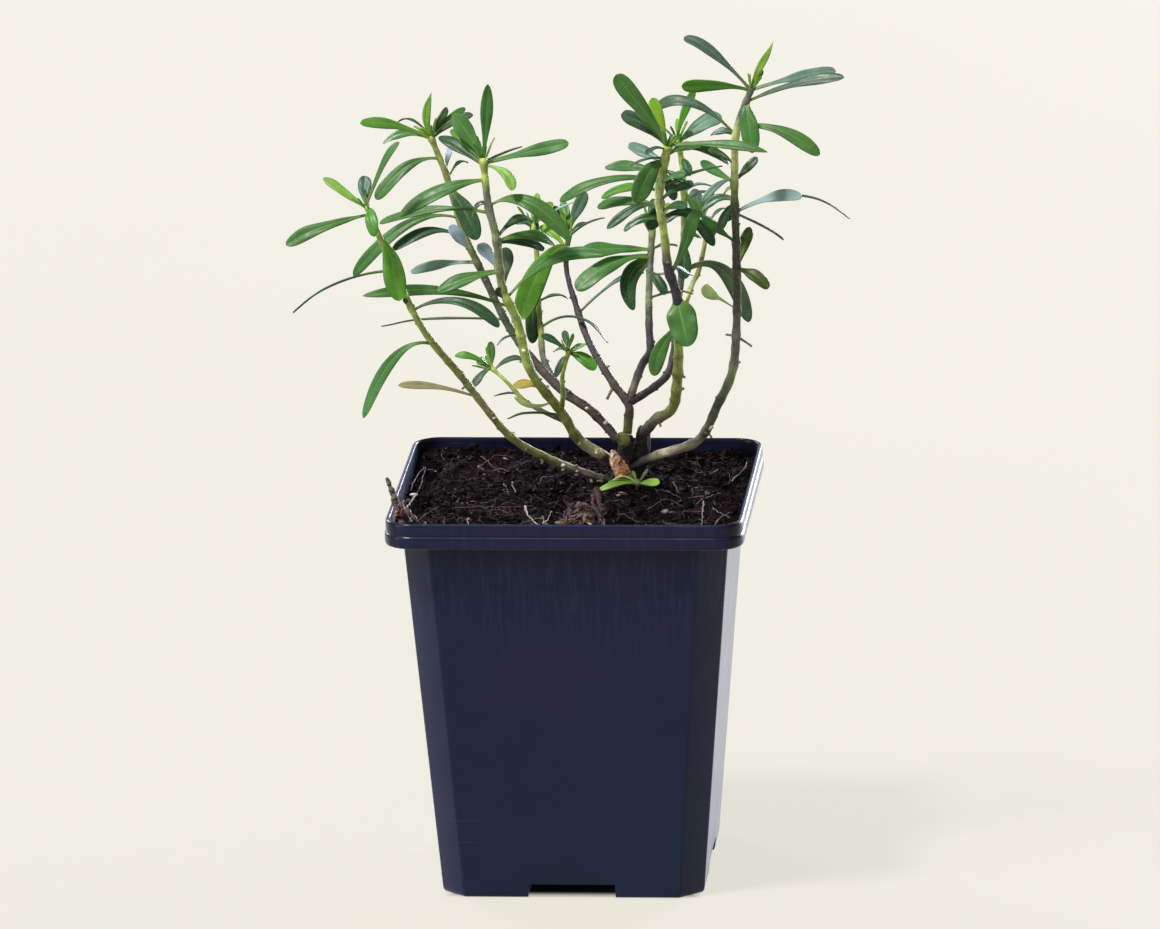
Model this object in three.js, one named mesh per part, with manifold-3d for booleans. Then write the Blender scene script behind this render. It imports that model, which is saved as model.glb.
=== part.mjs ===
// A young evergreen candytuft in a square nursery pot.
// Millimetres, +Z up, front towards -Y. The pot stands on z = 0 with its middle at the origin.
import * as THREE from "three";
import { mergeVertices } from "three/addons/utils/BufferGeometryUtils.js";
import Module from "manifold-3d";

const wasm = await Module();
wasm.setup();

// Pot
const POT_HEIGHT = 100;
const RIM_WIDTH = 90;
const BODY_TOP_WIDTH = 81.6;
const FOOT_WIDTH = 66;
const WALL = 1;
const FLOOR = 1.2;
const RIM_HEIGHT = 6.5;
const RIM_STEP = 0.25;
const RIM_CORNER = 7.5;
const BODY_TOP_CORNER = 7;
const FOOT_CORNER = 5.8;
const FOOT_EDGE = 0.8;
const LEDGE_RISE = 0.5;
const CHANNEL_WIDTH = 22;
const CHANNEL_HEIGHT = 3.6;
const DRAIN_RADIUS = 3;
const DRAIN_REACH = 19;
const DRAIN_SIDES = 10;

// Soil and what lies on it
const SOIL_LEVEL = 96.8;
const SOIL_CELLS = 21;
const MOUND_HEIGHT = 2.6;
const MOUND_SPREAD = 13;
const CRUMB_HEIGHT = 1.3;
const SWELL_HEIGHT = 0.35;
const SIDE_DIP = 0.9;
const SIDE_DIP_SPREAD = 7;
const LUMP_AT = [4.4, -27.5, 97.6];
const LUMP_HALF_SIZE = [4.4, 6.5, 2.2];
const LUMP_TURN = [0.1, 0.1, -0.3];
const LUMP_ROUGHNESS = [0.84, 1.12];

// Plant
const CROWN_AT = [10.5, 5, 97];
const ROOTS = 4;
const ROOT_REACH = [11, 18];
const ROOT_DEPTH = [30, 42];
const FLAKE_AT = [10.6, 0, 103.4];
const FLAKE_THICKNESS = 1;
const FLAKE_LEAN = 0.15;
const BLADE_THICKNESS = 0.7;
const LONG_BLADE = 17;
const STEM_STEP = 8;
const STEM_SIDES = 7;
const TWIG_SIDES = 6;
const STUB_SIDES = 5;
const STUB_TAPER = 0.75;

// Clearance between pieces that touch
const GAP = 0.3;

// Which way a leaf's upper face looks: up, front, back, left, right
const FACINGS = {
  U: [0, 0, 1],
  F: [0, -1, 0],
  B: [0, 1, 0],
  L: [-1, 0, 0],
  R: [1, 0, 0],
};

// A blade's half width along its length, as shares of its widest. The letter ends a leaf's facing.
const LONG_OUTLINE = [[0, 0.3], [0.25, 0.4], [0.5, 0.77], [0.76, 1], [0.93, 0.78], [1, 0.24]];
const SHORT_OUTLINE = [[0, 0.3], [0.3, 0.54], [0.66, 1], [0.9, 0.8], [1, 0.24]];
const OUTLINES = {
  P: [[0, 0.4], [0.25, 0.8], [0.5, 1], [0.75, 0.72], [1, 0.1]],
  T: [[0, 0.3], [0.25, 0.44], [0.45, 0.78], [0.66, 1], [0.88, 0.72], [1, 0.16]],
  O: [[0, 0.4], [0.15, 0.75], [0.36, 1], [0.7, 0.94], [0.9, 0.66], [1, 0.24]],
  S: [[0, 0.14], [0.45, 0.16], [0.6, 0.6], [0.8, 1], [0.93, 0.8], [1, 0.24]],
};

// Woody limbs of the rootstock, from its foot up, measured from CROWN_AT
const LIMBS = [
  { route: [[0, 0, -14], [0, 0, 0], [0, 0, 8], [2, 1, 14]], radii: [2.6, 4.2, 3.9, 2.6] },
  { route: [[2, 0, -3], [5, 2.5, 6], [6.5, 2.5, 15]], radii: [2.6, 2.1, 1.8] },
];

// Side view of the loose bark flake, round FLAKE_AT
const FLAKE_OUTLINE = [
  [-1.6, 3.6], [0.2, 4.1], [3.4, -0.3], [3.7, -2.4], [0.6, -3], [-1.2, -1.4], [-2, 1.2],
];

// Sprout at the foot of the plant. Its leaves are laid out like those of the stems.
const SPROUT = {
  route: [[15.5, -2.5, 95], [15.7, -3, 99], [16, -3.5, 102]],
  radii: [0.8, 0.7],
  leavesFrom: [16, -3.5, 101.6],
  leaves: [
    [1, -9, -2, -2, 2.8, 0.8, "UF"],
    [1, 5.5, -1, 0.3, 2.9, 0.5, "UF"],
    [1, -1.5, 1, 3.6, 1.3, 0, "F"],
    [1, 2.4, -0.6, 3.8, 1.3, 0, "F"],
  ],
};

// Dry twig that leans on the rim at the front left corner
const RIM_TWIG = [
  { route: [[-40.6, -36.5, 97.4], [-42.1, -34.5, 103], [-44.6, -33, 109]], radii: [0.8, 0.8, 0.5] },
  { route: [[-42, -34.6, 102.8], [-39.5, -36.2, 101.4], [-36.2, -38, 98.6]], radii: [0.5, 0.45, 0.35] },
];

// The leafy stems. Each has one main branch and those that fork from it.
// route: where the stem passes, foot first. radius: at the foot and at the tip.
// leaves: share along the stem, reach right, back and up, width, arch, facing.
// An arch is how far the middle rises, or lies to the right and rises.
// P, T, O or S after the facing makes a blade pointed, tapering, oval, or a spoon on a thin stalk.
// stubs: share along the stem, reach right, back and up, radius, for leaf scars and dead twigs.
const STEMS = {
  stem_far_left: [
    {
      route: [[9, 3, 99], [2, 0, 102], [-7, -5, 107.3], [-16, -10, 114.5], [-27, -16, 131],
        [-34, -20, 141], [-38.4, -22, 149.5], [-44.8, -25, 166], [-48.8, -28, 177.8]],
      radius: [1.05, 0.75],
      leaves: [
        [0.99, -11.5, 4, 7, 2.6, 0.2, "UF"],
        [1, -1, 6, 6, 3.5, 0, "F"],
        [1, 8.2, 3, 15.6, 2.6, 2, "FLT"],
        [0.99, 2, -7, -5.4, 3.2, 2, "F"],
        [0.975, -20.7, -6, -6.3, 3.7, 1.2, "UF"],
        [0.9, 5, -5, -14, 5.6, 2, "F"],
        [0.82, -26.5, 5, -11.6, 2.2, 2.6, "U"],
        [0.71, 22, -6, -3, 3.4, 4.8, "UF"],
        [0.72, -1.6, -2, 2.6, 1.2, 0, "F"],
        [0.61, -18, -4, -18, 3.6, 6, "UF"],
        [0.43, -18, 4, 1.8, 2.4, 0.6, "UF"],
      ],
      stubs: [
        [0.06, 0.6, -1, -1.6, 0.4],
        [0.1, 0.4, -0.6, 1.5, 0.4],
        [0.13, -0.4, -1.5, -0.8, 0.45],
        [0.19, -0.6, -1.2, -1.4, 0.35],
        [0.3, 1.3, -0.8, 1.2, 0.3],
        [0.47, -1.6, 0.4, -1, 0.35],
      ],
    },
  ],
  stem_back_left: [
    {
      route: [[10.2, 6.6, 108.8], [8, 7.6, 111.5], [3, 10, 116], [-5, 13, 121], [-16, 18, 132.5],
        [-23, 22, 145], [-29.5, 24, 159], [-33.5, 25, 173], [-37.3, 24, 183.6]],
      radius: [1.2, 0.75],
      leaves: [
        [1, 0.4, 0, 11.4, 2.2, [-1, 0], "FP"],
        [1, -9, 6, 2.6, 1.3, 2, "U"],
        [0.99, -17.8, -3, 5, 3.3, 1, "F"],
        [0.99, -13.3, 7, -2.6, 3, 2, "UF"],
        [0.99, 3.4, 4, 7.4, 2, 0, "F"],
        [0.99, 8, 7, 6.4, 2, 1, "UF"],
        [0.99, 10.4, 2, 5.7, 2.6, 1.2, "UF"],
        [0.93, -16, -6, -9, 3.9, 3, "UF"],
        [0.87, 4.6, 6, 2.6, 1.6, 2.2, "U"],
        [0.89, 1, 8, 5, 2, 1, "U"],
        [0.84, 6.6, -5, -12, 5.2, 2, "F"],
        [0.76, -26.2, -6, -13.8, 3.6, 6, "UF"],
        [0.7, -18.5, -3, -2, 3.4, 3, "UF"],
        [0.66, -5.5, -2, 7.2, 3.6, 0.5, "UF"],
        [0.63, -17.5, 6, -3.5, 3.3, 0.3, "UF"],
        [0.46, -31.9, 6, -2.2, 2, 0.3, "U"],
      ],
      stubs: [
        [0.09, 0.9, -1.4, 1, 0.4],
        [0.19, 0.8, -1.2, 1.4, 0.4],
        [0.3, -1.4, -0.8, -1, 0.35],
      ],
    },
    {
      route: [[-5, 13, 121], [-9, 18, 127], [-10, 22, 133.7], [-11, 27, 141], [-11.4, 31, 149.7],
        [-12.5, 34, 158.5]],
      radius: [0.85, 0.6],
      leaves: [
        [0.39, 18, -4, -2.5, 2, 4.5, "U"],
        [0.55, 7, 9, -1, 2, 1, "U"],
        [0.64, -1.6, -6, -13.4, 3.8, 1, "F"],
        [0.61, -5, 6, -6, 2.3, 1, "UF"],
        [0.82, -1, 4, 9, 2.5, 0, "F"],
        [0.91, 0, 8, 10, 2.4, 0, "U"],
        [0.96, -5, 6, 0.6, 2.4, 1, "UF"],
        [1, 5, 3, 4.6, 2.2, 1, "UF"],
        [1, 10.2, 3, 4.9, 1.4, 0.4, "U"],
      ],
    },
  ],
  stem_front_left: [
    {
      route: [[9, 4, 104], [7, 2, 106], [1, -1, 111], [-3, -4, 119], [-10, -9, 130.5], [-13, -12, 144],
        [-16.5, -14, 154], [-17.5, -16, 166.5], [-19.5, -16, 176], [-20.5, -15, 187]],
      radius: [1.3, 0.9],
      leaves: [
        [1, 1.6, 0, 18.9, 3.2, 0, "FT"],
        [1, -7.5, 4, 9.8, 4.6, 0.5, "F"],
        [0.99, -9, 9, 6, 3.2, 1, "UF"],
        [0.98, -12, 7, 6, 3.4, 0.6, "UF"],
        [0.99, 8.9, 8, 2.2, 1.2, 0, "U"],
        [0.985, 21, 4, 4, 3.7, 0.3, "UF"],
        [0.98, 7.2, -6, -5.2, 2.9, [2, 1.3], "UF"],
        [0.94, -21, -6, -8, 4.7, 2.6, "UFT"],
        [0.85, -28, 4, -4, 3, 3, "UF"],
        [0.87, 20.5, -7, -8, 4.7, 6, "UFT"],
        [0.87, -5, 5, -3.8, 2.2, 1.8, "UF"],
        [0.78, 8.5, 7, 3, 2.8, 2.4, "UF"],
        [0.77, 14.4, 6, -2, 3.2, 2.1, "UF"],
        [0.765, 11.5, 6, -2.3, 3.4, 0.8, "UF"],
        [0.69, -5.5, 3, 5.7, 3.4, 0.6, "UF"],
        [0.685, -15.5, -4, -4.2, 4, 0.8, "UF"],
        [0.635, 0, 6, 9, 5, 0, "F"],
        [0.605, 25.5, -6, 12.2, 3.7, 4.2, "UFT"],
        [0.6, -2.6, -2, 3.4, 2.4, 0, "F"],
        [0.575, -36.8, -5, 4.8, 3.2, 2.3, "UFT"],
        [0.49, -6, -3, -1.6, 1, 1, "U"],
        [0.3, -8.6, -1, 1.8, 2.8, 1.5, "UF"],
        [0.27, -9.5, 1, 0.8, 1.6, -2.2, "UF"],
        [0.21, -14, -5, 1, 1.4, 1, "U"],
      ],
      stubs: [
        [0.07, 1.2, -1.6, 0.6, 0.45],
        [0.13, 0.8, -1.5, -1.3, 0.45],
        [0.32, 1.8, -1, 0.8, 0.4],
        [0.41, -1.9, -0.6, 0.4, 0.4],
      ],
    },
    {
      route: [[-3, -4, 119], [-2, -10, 125], [-1.8, -13, 130.5], [0.3, -17, 138]],
      radius: [0.65, 0.5],
      leaves: [
        [1, -1.4, 3, 4.4, 1.9, 0, "F"],
        [0.98, -7, 0, 4, 2, 0.8, "UF"],
        [0.96, -4, 6, -1, 2, 1, "UF"],
        [0.98, 4, 5, 1, 1.6, 0.5, "U"],
        [0.95, 7, -3, -3.4, 3.4, 1.4, "UF"],
        [0.93, -3, -3, -5, 1.8, 1, "UF"],
      ],
    },
    {
      route: [[-2, -3, 116], [-12, 4, 119], [-18, 8, 124], [-22, 10, 127]],
      radius: [0.6, 0.5],
      leaves: [
        [1, -9, 0, 3, 2.2, 1, "UF"],
        [0.99, 0, 3, 6, 2.1, 0, "F"],
        [0.99, -2, -5, 4, 1.9, 0, "UF"],
        [0.95, 7, 5, 2, 2, 1, "UF"],
        [0.98, -5, -4, -4, 2.2, 0.6, "UF"],
        [0.63, -6, 4, -2, 1.6, 0.5, "U"],
      ],
    },
  ],
  stem_middle: [
    {
      route: [[12.7, 6.2, 110.6], [13, 7, 114], [13, 8, 118], [8.5, 12, 123], [3, 18, 130.5],
        [-1, 25, 138.7], [-4, 31, 148], [-3.3, 34, 157]],
      radius: [1.15, 0.6],
      leaves: [
        [1, 4, 0, 10, 3.3, 0, "F"],
        [0.98, 4.6, 6, 1.9, 1.6, 0.6, "U"],
        [0.97, 9.6, -4, 5.5, 1.6, 1.2, "U"],
        [0.62, 16.3, 5, 10.1, 2.8, 1.8, "U"],
        [0.97, -4, 4, 7, 2.4, 0, "F"],
        [0.91, -7, 5, 5, 2.6, 1, "UF"],
        [0.86, 4, 5, 1.4, 2.4, 1, "U"],
        [0.96, -2, 8, 8, 2.6, 0, "F"],
        [0.93, -11, -14, -16, 5.4, 5, "F"],
      ],
      stubs: [
        [0.24, -1.8, -1.5, -3.2, 0.45],
        [0.33, 1.5, -0.8, 1, 0.35],
      ],
    },
    {
      route: [[13, 8, 118], [16, 12, 126.5], [18.3, 13, 130.5], [18, 16, 136], [17.8, 20, 145.5],
        [18.6, 25, 160.7]],
      radius: [1.05, 0.75],
      leaves: [
        [0.86, -16.8, -8, 1.5, 4.6, 0.4, "UF"],
        [0.82, -18, -11, -6, 5.4, 3, "UF"],
        [0.75, 4, -6, -5, 3, 1, "UF"],
        [0.8, -3.7, -6, -11.5, 4.4, [-3.3, 2.4], "FO"],
        [0.94, 0, 6, 8, 2.6, 0, "F"],
        [0.96, 4, 8, 5, 2.8, 1, "U"],
        [0.92, -2, 9, 3, 2.6, 1, "UF"],
        [0.86, 6, 7, -1, 2.6, 1, "U"],
        [0.6, 11, 5, 0.4, 1.4, 0.8, "U"],
      ],
      stubs: [
        [0.72, 4, -1.5, 1.2, 0.4],
      ],
    },
    {
      route: [[13.5, 8, 118.3], [19, 12, 121.2], [22.5, 15, 124], [24, 18, 129], [25, 24, 141.5],
        [26.5, 26, 156.5], [26.3, 25, 175], [25.2, 23, 183.5]],
      radius: [1, 0.75],
      leaves: [
        [1, 4.2, 3, 12, 2.3, 0, "F"],
        [0.98, 11, 4, 6, 4.8, 1, "UF"],
        [0.95, 12, 5, -5, 3.2, 2.5, "UF"],
        [0.8, 7, 9, -1, 2, 1.5, "U"],
        [0.76, 7, 7, 1, 2, 1.5, "U"],
        [0.65, 4, 6, -2, 2.4, 0.5, "UF"],
        [0.63, 0, -4, -9, 3.8, 1, "F"],
        [0.72, -6, 6, -4, 2.8, 1, "UF"],
        [0.69, 7, 4, -7, 3.2, 3, "F"],
        [0.52, 16.4, 5, -14, 4.4, [1.6, 7.8], "F"],
      ],
    },
    {
      route: [[24.4, 20.5, 133], [27.7, 30, 143], [29.6, 32, 147], [31.5, 35, 156.5], [30.8, 36, 160.4]],
      radius: [0.75, 0.55],
      leaves: [
        [1, 2, 3, 6, 2.2, 0, "F"],
        [1, -3, 3, 6, 3.2, 0, "F"],
        [0.92, 5, 3, 4, 2, 1, "U"],
        [0.92, -4, -3, 5, 2, 1, "UF"],
        [0.98, 2, -3, -4.6, 3.2, [0, 1.4], "F"],
      ],
    },
  ],
  stem_front_right: [
    {
      route: [[16.5, 7, 110], [20, 3, 115], [24, 0, 118], [26, -4, 123.3], [27.2, -9, 137],
        [27.4, -13, 150], [25.4, -14.8, 158.5], [24.6, -16, 167], [23.7, -17, 175],
        [23.7, -16.5, 180], [25.7, -16, 190.3]],
      radius: [1.35, 0.95],
      leaves: [
        [1, -12.2, -3, 18.6, 4.8, 0.4, "F"],
        [1, -4, 3, 11.6, 3.5, 0, "F"],
        [1, -12, 6, 7, 3.9, 1, "F"],
        [1, -8.5, 5, 8.8, 2.4, 0.5, "UF"],
        [1, -4, 8, 2, 2.8, 1, "UF"],
        [1, 25.3, -6, 0, 2.9, 1.5, "UFT"],
        [0.955, -9.4, 6, 3.2, 3.6, 0, "UF"],
        [0.99, -5, -4, -0.3, 2.4, 1, "U"],
        [0.965, -8.4, -4, -1.3, 1.8, 1, "U"],
        [0.92, -15, 7, 0.6, 3.3, 0.6, "UF"],
        [0.9, -25.5, -3, -4, 3.4, 2.5, "UF"],
        [0.87, -15, 5, -3, 2.8, 2, "UF"],
        [0.83, -16.2, 3, -1.2, 3, 1.5, "UF"],
        [0.95, -7, -7, -8.4, 5.3, 2.5, "F"],
        [0.83, -13, -4, -5, 2.6, 2, "UF"],
        [0.79, -10, 6, -4.4, 3.2, 1.5, "UF"],
        [0.84, -2.4, 5, -8.6, 3.8, 1, "F"],
        [0.54, 2.8, -5, -10.6, 7.4, 0.6, "FO"],
        [0.46, -5.8, -3, -12.5, 4, [-1.6, 1], "F"],
        [0.62, 7.5, -5, 17.7, 3.4, 0, "F"],
        [0.79, 9.5, 4, 0.3, 3, 1, "UF"],
        [0.84, 9, -5, 6, 2.8, 1, "UF"],
        [0.88, 15.2, 6, 4.5, 2, 0.6, "U"],
        [0.89, 7, -8, 4, 2.6, 1, "UF"],
        [0.81, 7, -7, 3, 2.8, 1, "UF"],
        [0.97, 8, 7, 1, 2.8, 1, "UF"],
        [0.64, 5, 9, -4, 2.6, 1, "UF"],
      ],
      stubs: [
        [0.1, 0.5, -1.2, -1.9, 0.4],
        [0.24, 2, -0.8, 1, 0.4],
        [0.3, 1.9, -0.6, -0.8, 0.4],
      ],
    },
  ],
  stem_far_right: [
    {
      route: [[13, 4.5, 102], [21, 3, 106], [31, 3, 110], [36, 4, 119], [40, 5, 129], [41, 6, 146],
        [41, 5, 162], [41, 3, 179], [42, 1, 191], [46, 0, 202]],
      radius: [1.2, 0.85],
      leaves: [
        [0.99, -17, 3, 13, 3.4, 2.4, "UF"],
        [0.99, -17, -5, 2.4, 3.4, 0.5, "F"],
        [1, 5, 3, 11, 1.9, 0, "FP"],
        [0.99, 21, 5, 3, 3.2, 1.5, "UF"],
        [0.96, 25, -4, 7, 3.2, 2, "UF"],
        [0.96, 1.8, -6, -11.6, 4.7, 2, "F"],
        [0.9, 20.8, -5, -6, 3.8, 2.8, "UF"],
        [0.88, -21, 4, 7, 3.4, 4.2, "UF"],
        [0.77, 5.6, 4, 5.4, 2.4, 0.2, "UF"],
        [0.7, 17, -3, 4.4, 3.4, 2.2, "UF"],
        [0.7, 29, 4, -2, 2.2, 5.2, "U"],
        [0.7, 12, 5, -8, 2.2, 0.4, "U"],
        [0.57, 3, 7, 9.4, 3, 0, "F"],
        [0.57, 8, -5, -4, 3.6, 1.5, "UF"],
        [0.78, -8, -5, -5, 3, 1, "UF"],
        [0.81, -6, -5, 5, 2.2, 1, "UF"],
        [0.88, -7, 8, -1.5, 2.6, 1, "UF"],
        [0.77, -9, 6, 4, 2.6, 0, "F"],
        [0.63, -8.5, -5, 7.6, 2.8, 0.6, "UF"],
        [0.73, -8.4, 5, -3.8, 3.4, 1.5, "UF"],
        [0.72, -2.6, 4, -5.5, 3, 1, "F"],
        [0.72, -4, -5, -6, 2.4, 1, "F"],
        [0.76, -4, 8, -5, 2.6, 1, "UF"],
        [0.48, -8.6, -3, 6.2, 4, 0, "FS"],
      ],
      stubs: [
        [0.15, 6, -0.5, 5.5, 0.5],
        [0.2, 1.4, -1, -1.6, 0.35],
        [0.36, 1.7, -0.6, 0.6, 0.4],
        [0.42, -2.6, -0.8, 0.8, 0.35],
        [0.42, 4, -0.6, -2.2, 0.35],
      ],
    },
  ],
};

// Repeatable draw between 0 and 1
function draw(seed) {
  const value = Math.sin(seed * 12.9898) * 43758.5453;
  return value - Math.floor(value);
}

function between(low, high, share) {
  return low + (high - low) * share;
}

// Value at a share of the way along a list of evenly spaced ones
function along(values, share) {
  const place = share * (values.length - 1);
  const low = Math.min(Math.floor(place), values.length - 2);
  return between(values[low], values[low + 1], place - low);
}

function vector(xyz) {
  return new THREE.Vector3(...xyz);
}

// Solids

function solidFrom(geometry) {
  const plain = geometry.clone();
  plain.deleteAttribute("normal");
  plain.deleteAttribute("uv");
  const merged = mergeVertices(plain, 1e-4);
  return new wasm.Manifold(new wasm.Mesh({
    numProp: 3,
    vertProperties: new Float32Array(merged.attributes.position.array),
    triVerts: new Uint32Array(merged.index.array),
  }));
}

function solidFromFaces(points, faces) {
  const geometry = new THREE.BufferGeometry();
  const positions = new Float32Array(points.flatMap((p) => [p.x, p.y, p.z]));
  geometry.setAttribute("position", new THREE.BufferAttribute(positions, 3));
  geometry.setIndex(faces.flat());
  return solidFrom(geometry);
}

function placed(geometry, position, rotation = [0, 0, 0]) {
  const matrix = new THREE.Matrix4().makeRotationFromEuler(new THREE.Euler(...rotation));
  matrix.setPosition(...position);
  return solidFrom(geometry.clone().applyMatrix4(matrix));
}

function box(size, centre) {
  return placed(new THREE.BoxGeometry(...size), centre);
}

function geometryOf(solid) {
  const mesh = solid.getMesh();
  const positions = new Float32Array(mesh.numVert * 3);
  for (let i = 0; i < mesh.numVert; i += 1) {
    const start = i * mesh.numProp;
    positions.set(mesh.vertProperties.subarray(start, start + 3), i * 3);
  }
  const geometry = new THREE.BufferGeometry();
  geometry.setAttribute("position", new THREE.BufferAttribute(positions, 3));
  geometry.setIndex(new THREE.BufferAttribute(mesh.triVerts, 1));
  geometry.computeVertexNormals();
  return geometry;
}

// Closed skin over rings of equal point count, each ring turning left as seen from its far end
function loft(rings) {
  const count = rings[0].length;
  const points = rings.flat();
  const faces = [];
  for (let r = 0; r + 1 < rings.length; r += 1) {
    for (let i = 0; i < count; i += 1) {
      const a = r * count + i;
      const b = r * count + (i + 1) % count;
      faces.push([a, b, b + count], [a, b + count, a + count]);
    }
  }
  for (const [r, turned] of [[0, true], [rings.length - 1, false]]) {
    const centre = points.length;
    const middle = new THREE.Vector3();
    rings[r].forEach((p) => middle.add(p));
    points.push(middle.divideScalar(count));
    for (let i = 0; i < count; i += 1) {
      const a = r * count + i;
      const b = r * count + (i + 1) % count;
      faces.push(turned ? [b, a, centre] : [a, b, centre]);
    }
  }
  return solidFromFaces(points, faces);
}

function curveThrough(route) {
  return new THREE.CatmullRomCurve3(route.map(vector), false, "catmullrom", 0.5);
}

// Round tube along a curve, with the radius given at each share of its length
function taperedTube(curve, radiusAt, sides, steps) {
  const frames = curve.computeFrenetFrames(steps, false);
  const rings = [];
  for (let i = 0; i <= steps; i += 1) {
    const centre = curve.getPointAt(i / steps);
    const radius = radiusAt(i / steps);
    const ring = [];
    for (let k = 0; k < sides; k += 1) {
      const angle = (2 * Math.PI * k) / sides;
      ring.push(centre.clone()
        .addScaledVector(frames.normals[i], radius * Math.cos(angle))
        .addScaledVector(frames.binormals[i], radius * Math.sin(angle)));
    }
    rings.push(ring);
  }
  return loft(rings);
}

// Pot

// Square ring with cut corners, or rounded ones where round is true
function squareRing(width, corner, z, round = false) {
  const half = width / 2;
  const up = new THREE.Vector3(0, 0, 1);
  const ring = [];
  for (let quarter = 0; quarter < 4; quarter += 1) {
    const turn = (quarter * Math.PI) / 2;
    for (let i = 0; i < 4; i += 1) {
      const share = i / 3;
      const angle = (share * Math.PI) / 2;
      const x = half - corner * (round ? 1 - Math.cos(angle) : share);
      const y = half - corner * (round ? 1 - Math.sin(angle) : 1 - share);
      ring.push(new THREE.Vector3(x, y, z).applyAxisAngle(up, turn));
    }
  }
  return ring;
}

function bodyRing(z, inset) {
  const share = z / (POT_HEIGHT - RIM_HEIGHT);
  const width = between(FOOT_WIDTH, BODY_TOP_WIDTH, share) - 2 * inset;
  const corner = between(FOOT_CORNER, BODY_TOP_CORNER, share) - inset * (2 - Math.SQRT2);
  return squareRing(width, corner, z);
}

function rimRing(z, inset) {
  return squareRing(RIM_WIDTH - 2 * inset, RIM_CORNER - inset, z, true);
}

// Cross of two bars through the middle of the pot
function cross(width, length, bottom, top) {
  const centre = [0, 0, (bottom + top) / 2];
  const along = box([width, length, top - bottom], centre);
  const across = box([length, width, top - bottom], centre);
  return along.add(across);
}

function channelCover(extra) {
  const width = CHANNEL_WIDTH + 2 * (FLOOR + extra);
  return cross(width, FOOT_WIDTH - WALL / 2, FLOOR / 2, CHANNEL_HEIGHT + FLOOR + extra);
}

function drainHoles() {
  const places = [[0, 0], [DRAIN_REACH, 0], [-DRAIN_REACH, 0], [0, DRAIN_REACH], [0, -DRAIN_REACH]];
  const hole = new THREE.CylinderGeometry(DRAIN_RADIUS, DRAIN_RADIUS, 2 * CHANNEL_HEIGHT, DRAIN_SIDES);
  return places.map(([x, y]) => placed(hole, [x, y, CHANNEL_HEIGHT + FLOOR], [Math.PI / 2, 0, 0]));
}

function makePot() {
  const underRim = POT_HEIGHT - RIM_HEIGHT;
  const midRim = POT_HEIGHT - RIM_HEIGHT / 2;
  const shell = loft([
    squareRing(FOOT_WIDTH - 2 * FOOT_EDGE, FOOT_CORNER - FOOT_EDGE / 2, 0),
    bodyRing(FOOT_EDGE, 0),
    bodyRing(underRim, 0),
    rimRing(underRim, RIM_STEP),
    rimRing(underRim + LEDGE_RISE, 0),
    rimRing(midRim, 0),
    rimRing(midRim + RIM_STEP, RIM_STEP),
    rimRing(POT_HEIGHT - LEDGE_RISE, RIM_STEP),
    rimRing(POT_HEIGHT, 2 * RIM_STEP),
    rimRing(POT_HEIGHT, WALL + RIM_STEP),
    rimRing(underRim + WALL + LEDGE_RISE, WALL + RIM_STEP),
    bodyRing(underRim + WALL, WALL),
    bodyRing(FLOOR, WALL),
  ]);
  const covered = shell.add(channelCover(0));
  const channel = cross(CHANNEL_WIDTH, RIM_WIDTH, -1, CHANNEL_HEIGHT);
  return drainHoles().reduce((pot, hole) => pot.subtract(hole), covered.subtract(channel));
}

// Soil

// Two crossing waves that never line up with the cells
function swell(x, y) {
  return Math.sin(x / 5.1 + 1.3) * Math.sin(y / 4.3 + 0.4) + 0.6 * Math.sin(x / 2.7 - y / 3.4);
}

function soilHeight(x, y) {
  const away = Math.hypot(x - CROWN_AT[0], y - CROWN_AT[1]);
  const mound = MOUND_HEIGHT * Math.exp(-((away / MOUND_SPREAD) ** 2));
  const crumb = CRUMB_HEIGHT * (draw(7 * Math.round(x * 3) + 131 * Math.round(y * 3)) - 0.5);
  const dip = SIDE_DIP * Math.exp(-(((x + RIM_WIDTH / 2) / SIDE_DIP_SPREAD) ** 2));
  return SOIL_LEVEL + mound + crumb + SWELL_HEIGHT * swell(x, y) - dip;
}

// Block with a rough top, as wide as the rim and as deep as the pot
function roughBlock() {
  const rows = SOIL_CELLS + 1;
  const half = RIM_WIDTH / 2;
  const points = [];
  const faces = [];
  for (let j = 0; j < rows; j += 1) {
    for (let i = 0; i < rows; i += 1) {
      const x = between(-half, half, i / SOIL_CELLS);
      const y = between(-half, half, j / SOIL_CELLS);
      points.push(new THREE.Vector3(x, y, soilHeight(x, y)));
    }
  }
  for (let j = 0; j < SOIL_CELLS; j += 1) {
    for (let i = 0; i < SOIL_CELLS; i += 1) {
      const a = j * rows + i;
      faces.push([a, a + 1, a + rows + 1], [a, a + rows + 1, a + rows]);
    }
  }
  const edge = [];
  for (let i = 0; i < SOIL_CELLS; i += 1) {
    edge[i] = i;
    edge[i + SOIL_CELLS] = i * rows + SOIL_CELLS;
    edge[i + 2 * SOIL_CELLS] = SOIL_CELLS * rows + SOIL_CELLS - i;
    edge[i + 3 * SOIL_CELLS] = (SOIL_CELLS - i) * rows;
  }
  const first = points.length;
  edge.forEach((top) => points.push(new THREE.Vector3(points[top].x, points[top].y, 0)));
  const centre = points.length;
  points.push(new THREE.Vector3(0, 0, 0));
  edge.forEach((top, k) => {
    const next = (k + 1) % edge.length;
    faces.push([top, first + k, first + next], [top, first + next, edge[next]]);
    faces.push([first + next, first + k, centre]);
  });
  return solidFromFaces(points, faces);
}

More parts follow.
